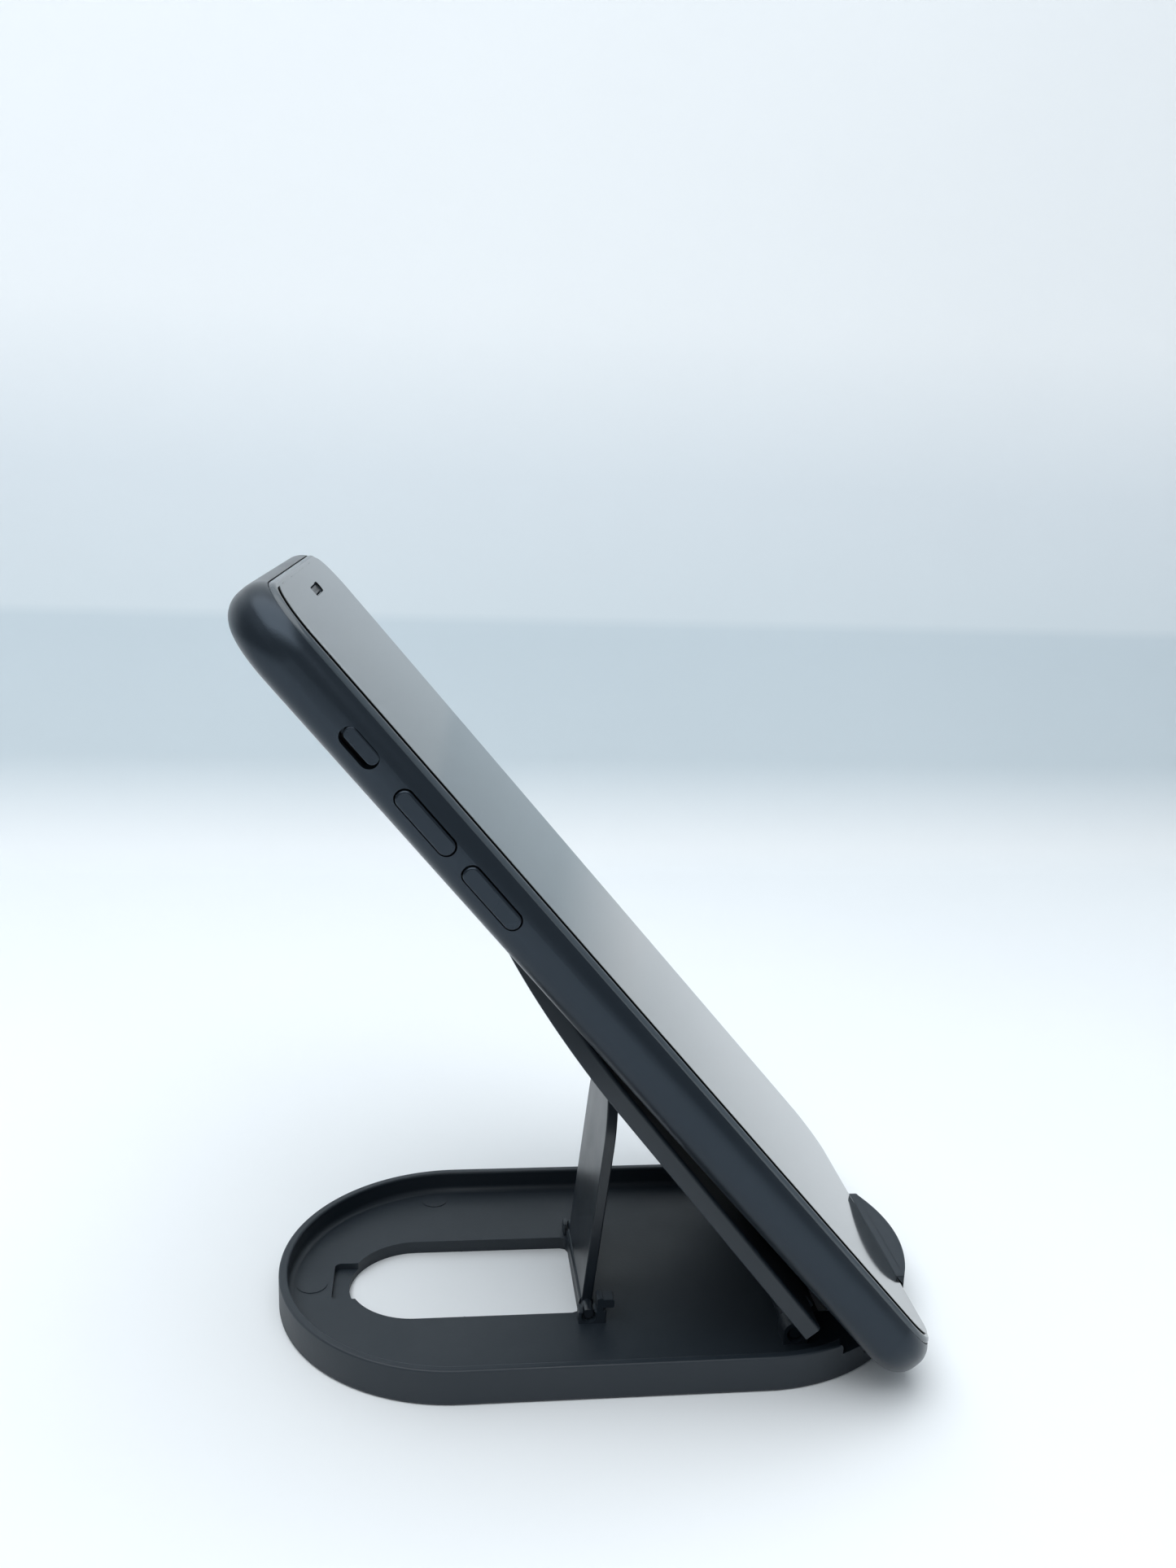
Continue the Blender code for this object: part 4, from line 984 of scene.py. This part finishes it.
@dataclass
class PhoneBody(SubAssembly):
    """The phone's aluminium body, upright in its own frame. Sizes are in millimetres."""

    corner: float = 9.5
    back_round: float = 3.6
    front_round: float = 3.2
    seam: float = 0.15
    recess_floor: float = -2.0
    cavity_inset: float = 2.7
    cavity_back: float = -6.4
    slot_gap: float = 0.2
    key_width: float = 2.2
    key_length: float = 9.6
    ring_slot: tuple[float, float] = (5.8, 2.5)
    card_slot: tuple[float, float] = (15.0, 2.4)
    port: tuple[float, float] = (9.8, 3.4)
    screw_hole: float = 1.0
    sound_hole: float = 0.6
    sound_pitch: float = 2.1
    sound_holes: int = 5
    sound_start: float = 2.6

    def build(self) -> None:
        """Mill the body out of one slab, cut its slots and holes, and fit it."""
        low, high = self.box("phone_housing")
        body = slab("housing_milled", low, (0.0, high.y, high.z), axis=X, corner=self.corner * MM,
                    segments=18, low_edge=self.back_round * MM, high_edge=self.front_round * MM,
                    edge_segments=12)
        glass_low, glass_high = self.box("front_glass")
        seam = self.seam * MM
        inset = glass_low.z - seam
        recess = slab("glass_recess", (self.recess_floor * MM, glass_low.y - seam, inset),
                      (3 * MM, glass_high.y + seam, glass_high.z + seam), axis=X,
                      corner=self.corner * MM - inset, segments=14)
        self.cut(body, recess)
        hold = self.cavity_inset * MM
        cavity = slab("inner_cavity", (self.cavity_back * MM, low.y + hold, hold),
                      (self.recess_floor * MM + MM, high.y - hold, high.z - hold), axis=X,
                      corner=self.corner * MM - hold, segments=12)
        self.cut(body, cavity)
        self.cut_side_slots(body, low, high)
        self.cut_back(body, low)
        self.cut_bottom(body)
        drop_slivers(body)
        self.fit(body, "aluminium_anodised_black", "phone_aluminium", "phone_housing")

    def cut(self, body: Piece, tool: Piece) -> None:
        """Cut a tool from the body with the solver that keeps its thin rim closed."""
        combine(body, tool, solver="MANIFOLD")

    def cut_side_slots(self, body: Piece, low: Vector, high: Vector) -> None:
        """Cut the slots for the keys, the ring switch and the card tray.

        Args:
            body: The body.
            low: Its lowest corner.
            high: Its highest corner.
        """
        gap = 2 * self.slot_gap
        key = (self.key_length + gap, self.key_width + gap)
        slots = (("volume_up_button", key), ("volume_down_button", key), ("side_button", key),
                 ("ring_switch", self.ring_slot), ("sim_tray", self.card_slot))
        key_x = sum(corner.x for corner in self.box("volume_up_button")) / 2
        for node, (length, width) in slots:
            node_low, node_high = self.box(node)
            z = (node_low.z + node_high.z) / 2
            edge = low.y if node_low.y + node_high.y < low.y + high.y else high.y
            inwards = 1 if edge == low.y else -1
            self.cut(body, slab(
                "wall_slot", (key_x - width * MM / 2, edge - inwards * 2 * MM, z - length * MM / 2),
                (key_x + width * MM / 2, edge + inwards * 4 * MM, z + length * MM / 2), axis=Y,
                corner=width * MM * ALMOST_ROUND / 2, segments=8,
            ))

    def cut_back(self, body: Piece, low: Vector) -> None:
        """Cut the round holes for the camera and its flash.

        Args:
            body: The body.
            low: Its lowest corner.
        """
        for node in ("camera_ring", "flash_window"):
            node_low, node_high = self.box(node)
            centre = (node_low + node_high) / 2
            centre.x = low.x
            radius = (node_high.z - node_low.z) / 2 + self.slot_gap * MM
            self.cut(body, disc("back_hole", centre, radius, 4 * MM, sides=64))

    def cut_bottom(self, body: Piece) -> None:
        """Cut the charging port, the two screw holes and the sound holes in the lower end.

        Args:
            body: The body.
        """
        low, high = self.box("charging_port")
        centre = (low + high) / 2
        half_y, half_x = self.port[0] * MM / 2, self.port[1] * MM / 2
        self.cut(body, slab("port_slot", (centre.x - half_x, -half_y, -2 * MM),
                            (centre.x + half_x, half_y, 5 * MM), corner=half_x * ALMOST_ROUND, segments=10))
        screw_low, screw_high = self.box("bottom_screw_right")
        screw_y = (screw_low.y + screw_high.y) / 2
        for side in (-1, 1):
            centre = Vector((centre.x, side * screw_y, 0))
            self.cut(body, disc("screw_hole", centre, self.screw_hole * MM, 9 * MM, axis=Z, sides=32))
            for step in range(self.sound_holes):
                y = side * (screw_y + (self.sound_start + step * self.sound_pitch) * MM)
                middle = Vector((centre.x, y, 0))
                hole = disc("sound_hole", middle, self.sound_hole * MM, 9 * MM, axis=Z, sides=24)
                self.cut(body, hole)


@dataclass
class PhoneFront(SubAssembly):
    """The cover glass, the film on it, and the earpiece. Sizes are in millimetres."""

    corner: float = 9.5
    glass_round: float = 0.7
    slot_corner: float = 0.65
    film_margin: float = 0.1
    film_thickness: float = 0.1
    film_cuts: int = 90
    film_waver: float = 0.07
    mesh_corner: float = 0.45
    rim_tilt: float = 0.96

    def build(self) -> None:
        """Make the glass, the film and the earpiece mesh, and fit them."""
        low, high = self.box("front_glass")
        _, body_high = self.box("phone_housing")
        glass = slab("cover_glass_plate", low, high, axis=X, corner=self.corner * MM - low.z, segments=14,
                     high_edge=self.glass_round * MM, edge_segments=6)
        combine(glass, self.slot(0.0))
        sheet = self.fit(glass, "glass_float_black", "cover_glass", "front_glass")
        # The glass's rounded rim is coloured mid-grey: a painted highlight for its silvery reflection.
        self.dress_edges(sheet, "glass_rim_painted_highlight", self.rim_tilt)
        self.build_film()
        low, high = self.box("earpiece_mesh")
        mesh = slab("earpiece_mesh_weave", low, high, axis=X, corner=self.mesh_corner * MM, segments=6,
                    high_edge=0.06 * MM, edge_segments=2)
        self.fit(mesh, "steel_mesh_woven", "fine_mesh", "earpiece_mesh")

    def slot(self, margin: float) -> Piece:
        """Return a cutter for the earpiece slot, widened by a margin all round.

        Args:
            margin: The margin in millimetres.
        """
        low, high = self.box("earpiece_mesh")
        grow = Vector((3.0, 0.2 + margin, 0.2 + margin)) * MM
        corner = (self.slot_corner + margin * 0.4) * MM
        return slab("earpiece_slot", low - grow, high + grow, axis=X, corner=corner, segments=8)

    def build_film(self) -> None:
        """Make the film, whose hand-cut outline wavers a little and whose cut edge looks dark."""
        low, high = self.box("screen_protector")
        high.x = low.x + self.film_thickness * MM
        film = slab("screen_film_sheet", low, high, axis=X, corner=self.corner * MM - low.z, segments=14)
        with editing(film):
            pick(film, Element.EDGES, lambda e: e.calc_length() > 20 * MM)
            bpy.ops.mesh.subdivide(number_cuts=self.film_cuts)
        combine(film, self.slot(self.film_margin))
        for vert in film.data.vertices:
            along = (vert.co.y + vert.co.z) / MM
            share = 0.5 + 0.5 * math.sin(along * 0.9) * math.cos(along * 0.37 + 1.0)
            step = self.film_waver * share * MM
            for axis in (Y, Z):
                for edge, inwards in ((low[axis], 1), (high[axis], -1)):
                    if abs(vert.co[axis] - edge) < TOUCH:
                        vert.co[axis] += inwards * step
        sheet = self.fit(film, "pet_film_on_glass", "clear_film", "screen_protector")
        self.dress_edges(sheet, "pet_film_cut_edge", self.rim_tilt)

    def dress_edges(self, sheet: Piece, finish: str, tilt: float) -> None:
        """Give the faces that turn away from a sheet's front their own finish.

        Args:
            sheet: The sheet, in place.
            finish: The finish's name.
            tilt: How nearly a face has to face the front to keep the sheet's own finish, as a cosine.
        """
        sheet.data.materials.append(self.book.material(finish, self.place))
        front = self.place.matrix.to_3x3() @ Vector((1, 0, 0))
        for polygon in sheet.data.polygons:
            if abs(polygon.normal.dot(front)) < tilt:
                polygon.material_index = 1


@dataclass
class SideControls(SubAssembly):
    """The keys, the ring switch and the card tray. Sizes are in millimetres."""

    key_width: float = 2.2
    key_length: float = 9.6
    key_round: float = 0.3
    flange: float = 0.5
    key_flange_corner: float = 0.4
    lever_width: float = 1.7
    lever_inset: float = 1.0
    lever_round: float = 0.2
    lever_flange_corner: float = 0.3
    card_face: tuple[float, float] = (14.6, 2.0)
    card_face_depth: float = 1.5
    carrier_half_length: float = 6.6
    carrier_depth: float = 0.95
    carrier_corner: float = 0.8
    seat_depth: float = 0.75
    seat_room: float = 0.3
    pin_hole: float = 0.45

    def build(self) -> None:
        """Make the three keys, the lever and the card tray, and fit them."""
        for node in ("volume_up_button", "volume_down_button", "side_button"):
            self.build_key(node)
        self.build_lever()
        self.build_card_tray()

    def face_out(self, node: str) -> tuple[float, float, int]:
        """Return where a side piece's outer face and inner face are, and its side.

        Args:
            node: The piece's CAD node.
        """
        low, high = self.box(node)
        return (low.y, high.y, -1) if low.y + high.y < 0 else (high.y, low.y, 1)

    def pill(self, name: str, node: str, width: float, length: float, inner: float, rounding: float) -> Piece:
        """Return a pill standing out through the wall, with its outer rim rounded.

        Args:
            name: The pill's name.
            node: The CAD node whose middle it takes.
            width: Its width in millimetres.
            length: Its length in millimetres.
            inner: Where its inner end is.
            rounding: The radius of its outer rim in millimetres.
        """
        low, high = self.box(node)
        centre = (low + high) / 2
        outer, _, side = self.face_out(node)
        edge = {"low_edge" if side < 0 else "high_edge": rounding * MM}
        half_width, half_length = width * MM / 2, length * MM / 2
        return slab(name, (centre.x - half_width, outer, centre.z - half_length),
                    (centre.x + half_width, inner, centre.z + half_length), axis=Y,
                    corner=half_width * ALMOST_ROUND, segments=12, edge_segments=4, **edge)

    def build_key(self, node: str) -> None:
        """Make one key on its flange.

        Args:
            node: The key's CAD node.
        """
        low, high = self.box(node)
        _, inner, side = self.face_out(node)
        key = self.pill(f"{node}_cap", node, self.key_width, self.key_length, inner, self.key_round)
        rear = inner + side * self.flange * MM
        flange = slab("key_flange", (low.x, inner, low.z), (high.x, rear, high.z), axis=Y,
                      corner=self.key_flange_corner * MM, segments=3)
        combine(key, flange, Combine.JOIN)
        self.fit(key, "aluminium_anodised_keys", "key_aluminium", node)

    def build_lever(self) -> None:
        """Make the ring switch's lever on its flange."""
        low, high = self.box("ring_switch")
        _, inner, side = self.face_out("ring_switch")
        length = (high.z - low.z) / MM - self.lever_inset
        lever = self.pill("ring_switch_lever", "ring_switch", self.lever_width, length, inner,
                          self.lever_round)
        rear = inner + side * self.flange * MM
        flange = slab("lever_flange", (low.x, inner, low.z), (high.x, rear, high.z), axis=Y,
                      corner=self.lever_flange_corner * MM, segments=3)
        combine(lever, flange, Combine.JOIN)
        self.fit(lever, "aluminium_anodised_keys", "key_aluminium", "ring_switch")

    def build_card_tray(self) -> None:
        """Make the card tray: its face, and a carrier behind it with a seat for the card."""
        low, high = self.box("sim_tray")
        card_low, card_high = self.box("sim_card")
        key_x = sum(corner.x for corner in self.box("volume_up_button")) / 2
        middle = (low.z + high.z) / 2
        half_length, half_width = (size * MM / 2 for size in self.card_face)
        face_inner = high.y - self.card_face_depth * MM
        tray = slab("card_tray_frame", (key_x - half_width, face_inner, middle - half_length),
                    (key_x + half_width, high.y, middle + half_length), axis=Y,
                    corner=half_width * ALMOST_ROUND, segments=12, high_edge=0.15 * MM, edge_segments=3)
        half_carrier, corner = self.carrier_half_length * MM, self.carrier_corner * MM
        carrier = slab("card_carrier", (key_x - self.carrier_depth * MM, low.y, middle - half_carrier),
                       (key_x, high.y - MM, middle + half_carrier), axis=X, corner=corner, segments=4)
        combine(tray, carrier, Combine.JOIN)
        room, seat_floor = self.seat_room * MM, key_x - self.seat_depth * MM
        seat = slab("card_seat", (seat_floor, card_low.y - room, card_low.z - 2 * room),
                    (key_x + MM, card_high.y + room, card_high.z + 2 * room), axis=X, corner=corner,
                    segments=4)
        combine(tray, seat)
        centre = Vector((key_x, high.y, middle + half_length - MM))
        combine(tray, disc("pin_hole", centre, self.pin_hole * MM, 6 * MM, axis=Y, sides=24))
        self.fit(tray, "aluminium_anodised_keys", "key_aluminium", "sim_tray")


@dataclass
class PhoneFittings(SubAssembly):
    """The camera and flash in the back, and the port and screws in the lower end. Sizes are in mm."""

    ring_bore: float = 3.1
    ring_edge: float = 0.35
    lens_edge: float = 0.1
    flash_edge: float = 0.15
    screw_edge: float = 0.12
    port_wall: float = 0.4
    port_depth: float = 6.4
    recess_radius: float = 0.42

    def build(self) -> None:
        """Make the camera's ring and window, the flash window, the port and the screws."""
        self.build_camera()
        low, high = self.box("flash_window")
        centre = (low + high) / 2
        window = disc("flash_window_moulding", centre, (high.z - low.z) / 2, high.x - low.x,
                      low_edge=self.flash_edge * MM)
        self.fit(window, "polycarbonate_fresnel", "flash_lens", "flash_window", pattern=centre)
        self.build_port()
        for node in ("bottom_screw_left", "bottom_screw_right"):
            self.build_screw(node)

    def build_camera(self) -> None:
        """Make the ring round the camera, with a soft outer edge, and the window in it."""
        low, high = self.box("camera_ring")
        centre = (low + high) / 2
        ring = disc("camera_ring_turned", centre, (high.z - low.z) / 2, high.x - low.x, sides=96,
                    low_edge=self.ring_edge * MM, edge_segments=5)
        combine(ring, disc("ring_bore", centre, self.ring_bore * MM, 9 * MM, sides=96))
        self.fit(ring, "aluminium_anodised_keys", "key_aluminium", "camera_ring")
        low, high = self.box("camera_lens")
        centre = (low + high) / 2
        window = disc("camera_window", centre, (high.z - low.z) / 2, high.x - low.x, sides=96,
                      low_edge=self.lens_edge * MM)
        self.fit(window, "sapphire_over_optics", "camera_glass", "camera_lens", pattern=centre)

    def build_port(self) -> None:
        """Make the charging port's steel shell, open downwards."""
        low, high = self.box("charging_port")
        half = (high.x - low.x) / 2
        shell = slab("charging_port_shell", low, high, corner=half * ALMOST_ROUND, segments=10,
                     low_edge=0.1 * MM, edge_segments=2)
        wall = self.port_wall * MM
        mouth_low = Vector((low.x + wall, low.y + wall, low.z - MM))
        mouth_high = Vector((high.x - wall, high.y - wall, low.z + self.port_depth * MM))
        corner = (half - wall) * ALMOST_ROUND
        combine(shell, slab("port_mouth", mouth_low, mouth_high, corner=corner, segments=10))
        self.fit(shell, "steel_rolled", "steel_sheet", "charging_port")

    def build_screw(self, node: str) -> None:
        """Make one screw with a five-sided recess.

        Args:
            node: The screw's CAD node.
        """
        low, high = self.box(node)
        centre = (low + high) / 2
        screw = disc(f"{node}_head", centre, (high.y - low.y) / 2, high.z - low.z, axis=Z, sides=40,
                     low_edge=self.screw_edge * MM)
        centre = Vector((centre.x, centre.y, low.z))
        combine(screw, disc("screw_recess", centre, self.recess_radius * MM, 0.8 * MM, axis=Z, sides=5))
        self.fit(screw, "nylon_black", "component_black", node)


@dataclass
class PhoneInsides(SubAssembly):
    """The pieces inside the phone, which stay as the frame has them and get their finishes here."""

    finishes: dict[str, str] = field(default_factory=lambda: {
        "display_panel": "display_panel_off",
        "display_back_plate": "steel_rolled",
        "battery": "battery_foil_matt",
        "logic_board": "board_solder_mask",
        "processor_shield": "steel_rolled",
        "radio_shield": "steel_rolled",
        "rear_camera_module": "nylon_black",
        "flash_module": "nylon_black",
        "front_camera_module": "nylon_black",
        "earpiece_speaker": "nylon_black",
        "loudspeaker": "nylon_black",
        "vibration_motor": "steel_rolled",
        "microphone": "copper_gold_flash",
        "nfc_antenna": "copper_gold_flash",
        "volume_up_dome": "steel_rolled",
        "volume_down_dome": "steel_rolled",
        "side_button_dome": "steel_rolled",
        "ring_switch_body": "nylon_black",
        "sim_card": "copper_gold_flash",
    })

    def build(self) -> None:
        """Dress each piece."""
        for node, finish in self.finishes.items():
            self.dress_node(node, finish)
            LOG.info("%s keeps its shape, finished in %s", node, finish)


# ---- studio -------------------------------------------------------------------------------------

@dataclass
class Studio:
    """A pale floor that sweeps up into a backdrop, soft lights and the camera. Metres and watts."""

    half_width: float = 2.0
    front: float = -2.0
    back: float = 0.25
    wall_height: float = 1.6
    sweep: float = 0.03
    # Backdrop colour by height in metres, painted shade and light: darker up the sweep and lower wall, a
    # sharp step lighter at 7.4 to 7.7 cm, near white higher up.
    wall_painted_shade: tuple[tuple[float, str], ...] = (
        (0.004, "#ebedee"), (0.03, "#d6e0e5"), (0.074, "#d2dde3"), (0.077, "#e0e8ec"), (0.12, "#e7edf1"),
        (0.17, "#fbfdfe"),
    )
    paper_roughness: float = 0.8
    paper_specular: float = 0.2
    mottle_scale: float = 9.0
    mottle_share: float = 0.04
    light_colour: str = "#f8fcff"
    surround_colour: str = "#e2eef9"
    surround_depths: tuple[float, float] = (-0.8, 0.3)
    surround_strengths: tuple[float, float] = (0.3, 0.36)
    sensor_mm: float = 36.0
    lens_mm: float = 30.68
    camera_mm: Corner = (-26.178, -183.622, 122.653)
    yaw_pitch_roll: Corner = (6.9525, 12.9988, 2.0731)

    def build(self) -> None:
        """Set up the floor, the lights and the camera."""
        bpy.context.scene.view_settings.view_transform = "Standard"
        self.build_floor()
        self.light("overhead", (-0.14, -0.16, 0.75), (1.0, 0.9), 7.2)
        self.light("front_fill", (0.0, -0.42, 0.45), (0.7, 0.3), 0.8)
        self.build_world()
        self.build_camera()

    def build_floor(self) -> None:
        """Make the floor and backdrop out of one sheet, curved where they meet."""
        bpy.ops.mesh.primitive_plane_add(size=1.0, location=(0, (self.front + self.back) / 2, 0))
        floor = named("studio_floor")
        floor.scale = (2 * self.half_width, self.back - self.front, 1)
        settle(floor)
        with editing(floor):
            pick(floor, Element.EDGES, lies_at(Y, self.back))
            bpy.ops.mesh.extrude_region_move(TRANSFORM_OT_translate={"value": (0, 0, self.wall_height)})
            pick(floor, Element.EDGES, lambda e: all(
                abs(v.co.y - self.back) < TOUCH and abs(v.co.z) < TOUCH for v in e.verts))
            round_over(self.sweep, 24)
        smooth(floor, math.radians(60))
        # The paper's colour carries painted shade on the sweep and lower wall, and painted light higher up.
        material = bpy.data.materials.new("paper_white_painted_shade")
        material.use_nodes = True
        tree = material.node_tree
        shader = tree.nodes["Principled BSDF"]
        shader.inputs["Roughness"].default_value = self.paper_roughness
        shader.inputs["Specular IOR Level"].default_value = self.paper_specular
        place = add_node(tree, "ShaderNodeTexCoord").outputs["Object"]
        noise = add_node(
            tree, "ShaderNodeTexNoise", {"Vector": place, "Scale": self.mottle_scale, "Detail": 3.0}
        ).outputs["Fac"]
        rise = add_node(tree, "ShaderNodeSeparateXYZ", {0: place}).outputs[Z]
        # The colour ramp by height paints the shade on the sweep and lower wall.
        shade_ramp = add_node(tree, "ShaderNodeValToRGB", {0: rise})
        ramp = shade_ramp.color_ramp.elements
        ramp.remove(ramp[1])
        for number, (height, tone) in enumerate(self.wall_painted_shade):
            stop = ramp.new(height) if number else ramp[0]
            stop.position = height
            stop.color = linear(tone)
        mixed = add_node(
            tree, "ShaderNodeMix", {"Factor": self.mottle_share, 6: shade_ramp.outputs["Color"], 7: noise},
            data_type="RGBA",
        ).outputs[2]
        tree.links.new(mixed, shader.inputs["Base Color"])
        floor.data.materials.append(material)

    def light(self, name: str, location: Corner, size: tuple[float, float], power: float) -> None:
        """Add a rectangular soft light that shines straight down and isn't seen by the camera.

        Args:
            name: Its name.
            location: Its middle.
            size: Its width and depth.
            power: Its power in watts.
        """
        data = bpy.data.lights.new(name, "AREA")
        data.shape = "RECTANGLE"
        data.size, data.size_y = size
        data.energy = power
        data.color = linear(self.light_colour)[:3]
        light = bpy.data.objects.new(name, data)
        bpy.context.scene.collection.objects.link(light)
        light.location = location
        light.visible_camera = False

    def build_world(self) -> None:
        """Surround the scene with soft cool light, dimmer towards the front of the studio."""
        world = bpy.data.worlds.new("studio_surround")
        bpy.context.scene.world = world
        world.use_nodes = True
        tree = world.node_tree
        background = tree.nodes["Background"]
        direction = add_node(tree, "ShaderNodeTexCoord").outputs["Generated"]
        depth = add_node(tree, "ShaderNodeSeparateXYZ", {0: direction}).outputs[Y]
        (near, far), (dim, bright) = self.surround_depths, self.surround_strengths
        strength = add_node(
            tree, "ShaderNodeMapRange",
            {"Value": depth, "From Min": near, "From Max": far, "To Min": dim, "To Max": bright},
        ).outputs[0]
        background.inputs["Color"].default_value = linear(self.surround_colour)
        tree.links.new(strength, background.inputs["Strength"])

    def build_camera(self) -> None:
        """Add the camera, which looks down by its pitch and is turned and rolled by a few degrees."""
        data = bpy.data.cameras.new("studio_camera")
        data.sensor_width = self.sensor_mm
        data.lens = self.lens_mm
        data.clip_start, data.clip_end = 0.01, 20.0
        camera = bpy.data.objects.new("studio_camera", data)
        bpy.context.scene.collection.objects.link(camera)
        yaw, pitch, roll = (math.radians(angle) for angle in self.yaw_pitch_roll)
        across = math.cos(pitch)
        forward = Vector((math.sin(yaw) * across, math.cos(yaw) * across, -math.sin(pitch)))
        level = Vector((math.cos(yaw), -math.sin(yaw), 0))
        upright = level.cross(forward)
        right = math.cos(roll) * level + math.sin(roll) * upright
        up = math.cos(roll) * upright - math.sin(roll) * level
        turn = Matrix((right, up, -forward)).transposed().to_4x4()
        camera.matrix_world = Matrix.Translation(Vector(self.camera_mm) * MM) @ turn
        bpy.context.scene.camera = camera


def joint_row(joints: list[dict], name: str) -> dict:
    """Return the record's row for one joint."""
    return next(joint for joint in joints if joint["name"] == name)


def phone_frame(nodes: dict[str, Piece], joints: list[dict]) -> TiltedFrame:
    """Return the frame in which the phone stands upright with its front at X = 0.

    Args:
        nodes: The frame's nodes.
        joints: The record's joints. The phone lifts off along its own length.
    """
    along = joint_row(joints, "phone_lift")["axis"]
    turn = math.atan2(along[X], along[Z])
    loose = TiltedFrame(Vector((0, 0, 0)), turn)
    low, high = loose.box(nodes["phone_housing"])
    _, glass_high = loose.box(nodes["front_glass"])
    foot = Vector((glass_high.x, (low.y + high.y) / 2, low.z))
    return TiltedFrame(loose.matrix @ foot, turn)


def main() -> None:
    """Build every sub-assembly and the studio."""
    logging.basicConfig(level=logging.INFO, format="%(name)s: %(message)s")
    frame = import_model()
    nodes, joints = frame["nodes"], frame["joints"]
    book = FinishBook()

    plate_hinge, leg_hinge = joint_row(joints, "backrest_hinge"), joint_row(joints, "leg_hinge")
    plate_axis, leg_axis = Vector(plate_hinge["pos_m"]), Vector(leg_hinge["pos_m"])
    flat = TiltedFrame(Vector((0, 0, 0)), 0.0)
    plate_turn = -math.radians(plate_hinge["range_deg"][0])
    leg_turn = -math.radians(leg_hinge["range_deg"][0] + leg_hinge["range_deg"][1])
    phone = phone_frame(nodes, joints)

    StandTray(nodes, book, flat).build(leg_axis, plate_axis, phone)
    BackPlate(nodes, book, TiltedFrame(plate_axis, plate_turn)).build()
    SupportLeg(nodes, book, TiltedFrame(leg_axis, leg_turn)).build()
    PhoneBody(nodes, book, phone).build()
    PhoneFront(nodes, book, phone).build()
    SideControls(nodes, book, phone).build()
    PhoneFittings(nodes, book, phone).build()
    PhoneInsides(nodes, book, phone).build()
    Studio().build()


if __name__ == "__main__":
    main()
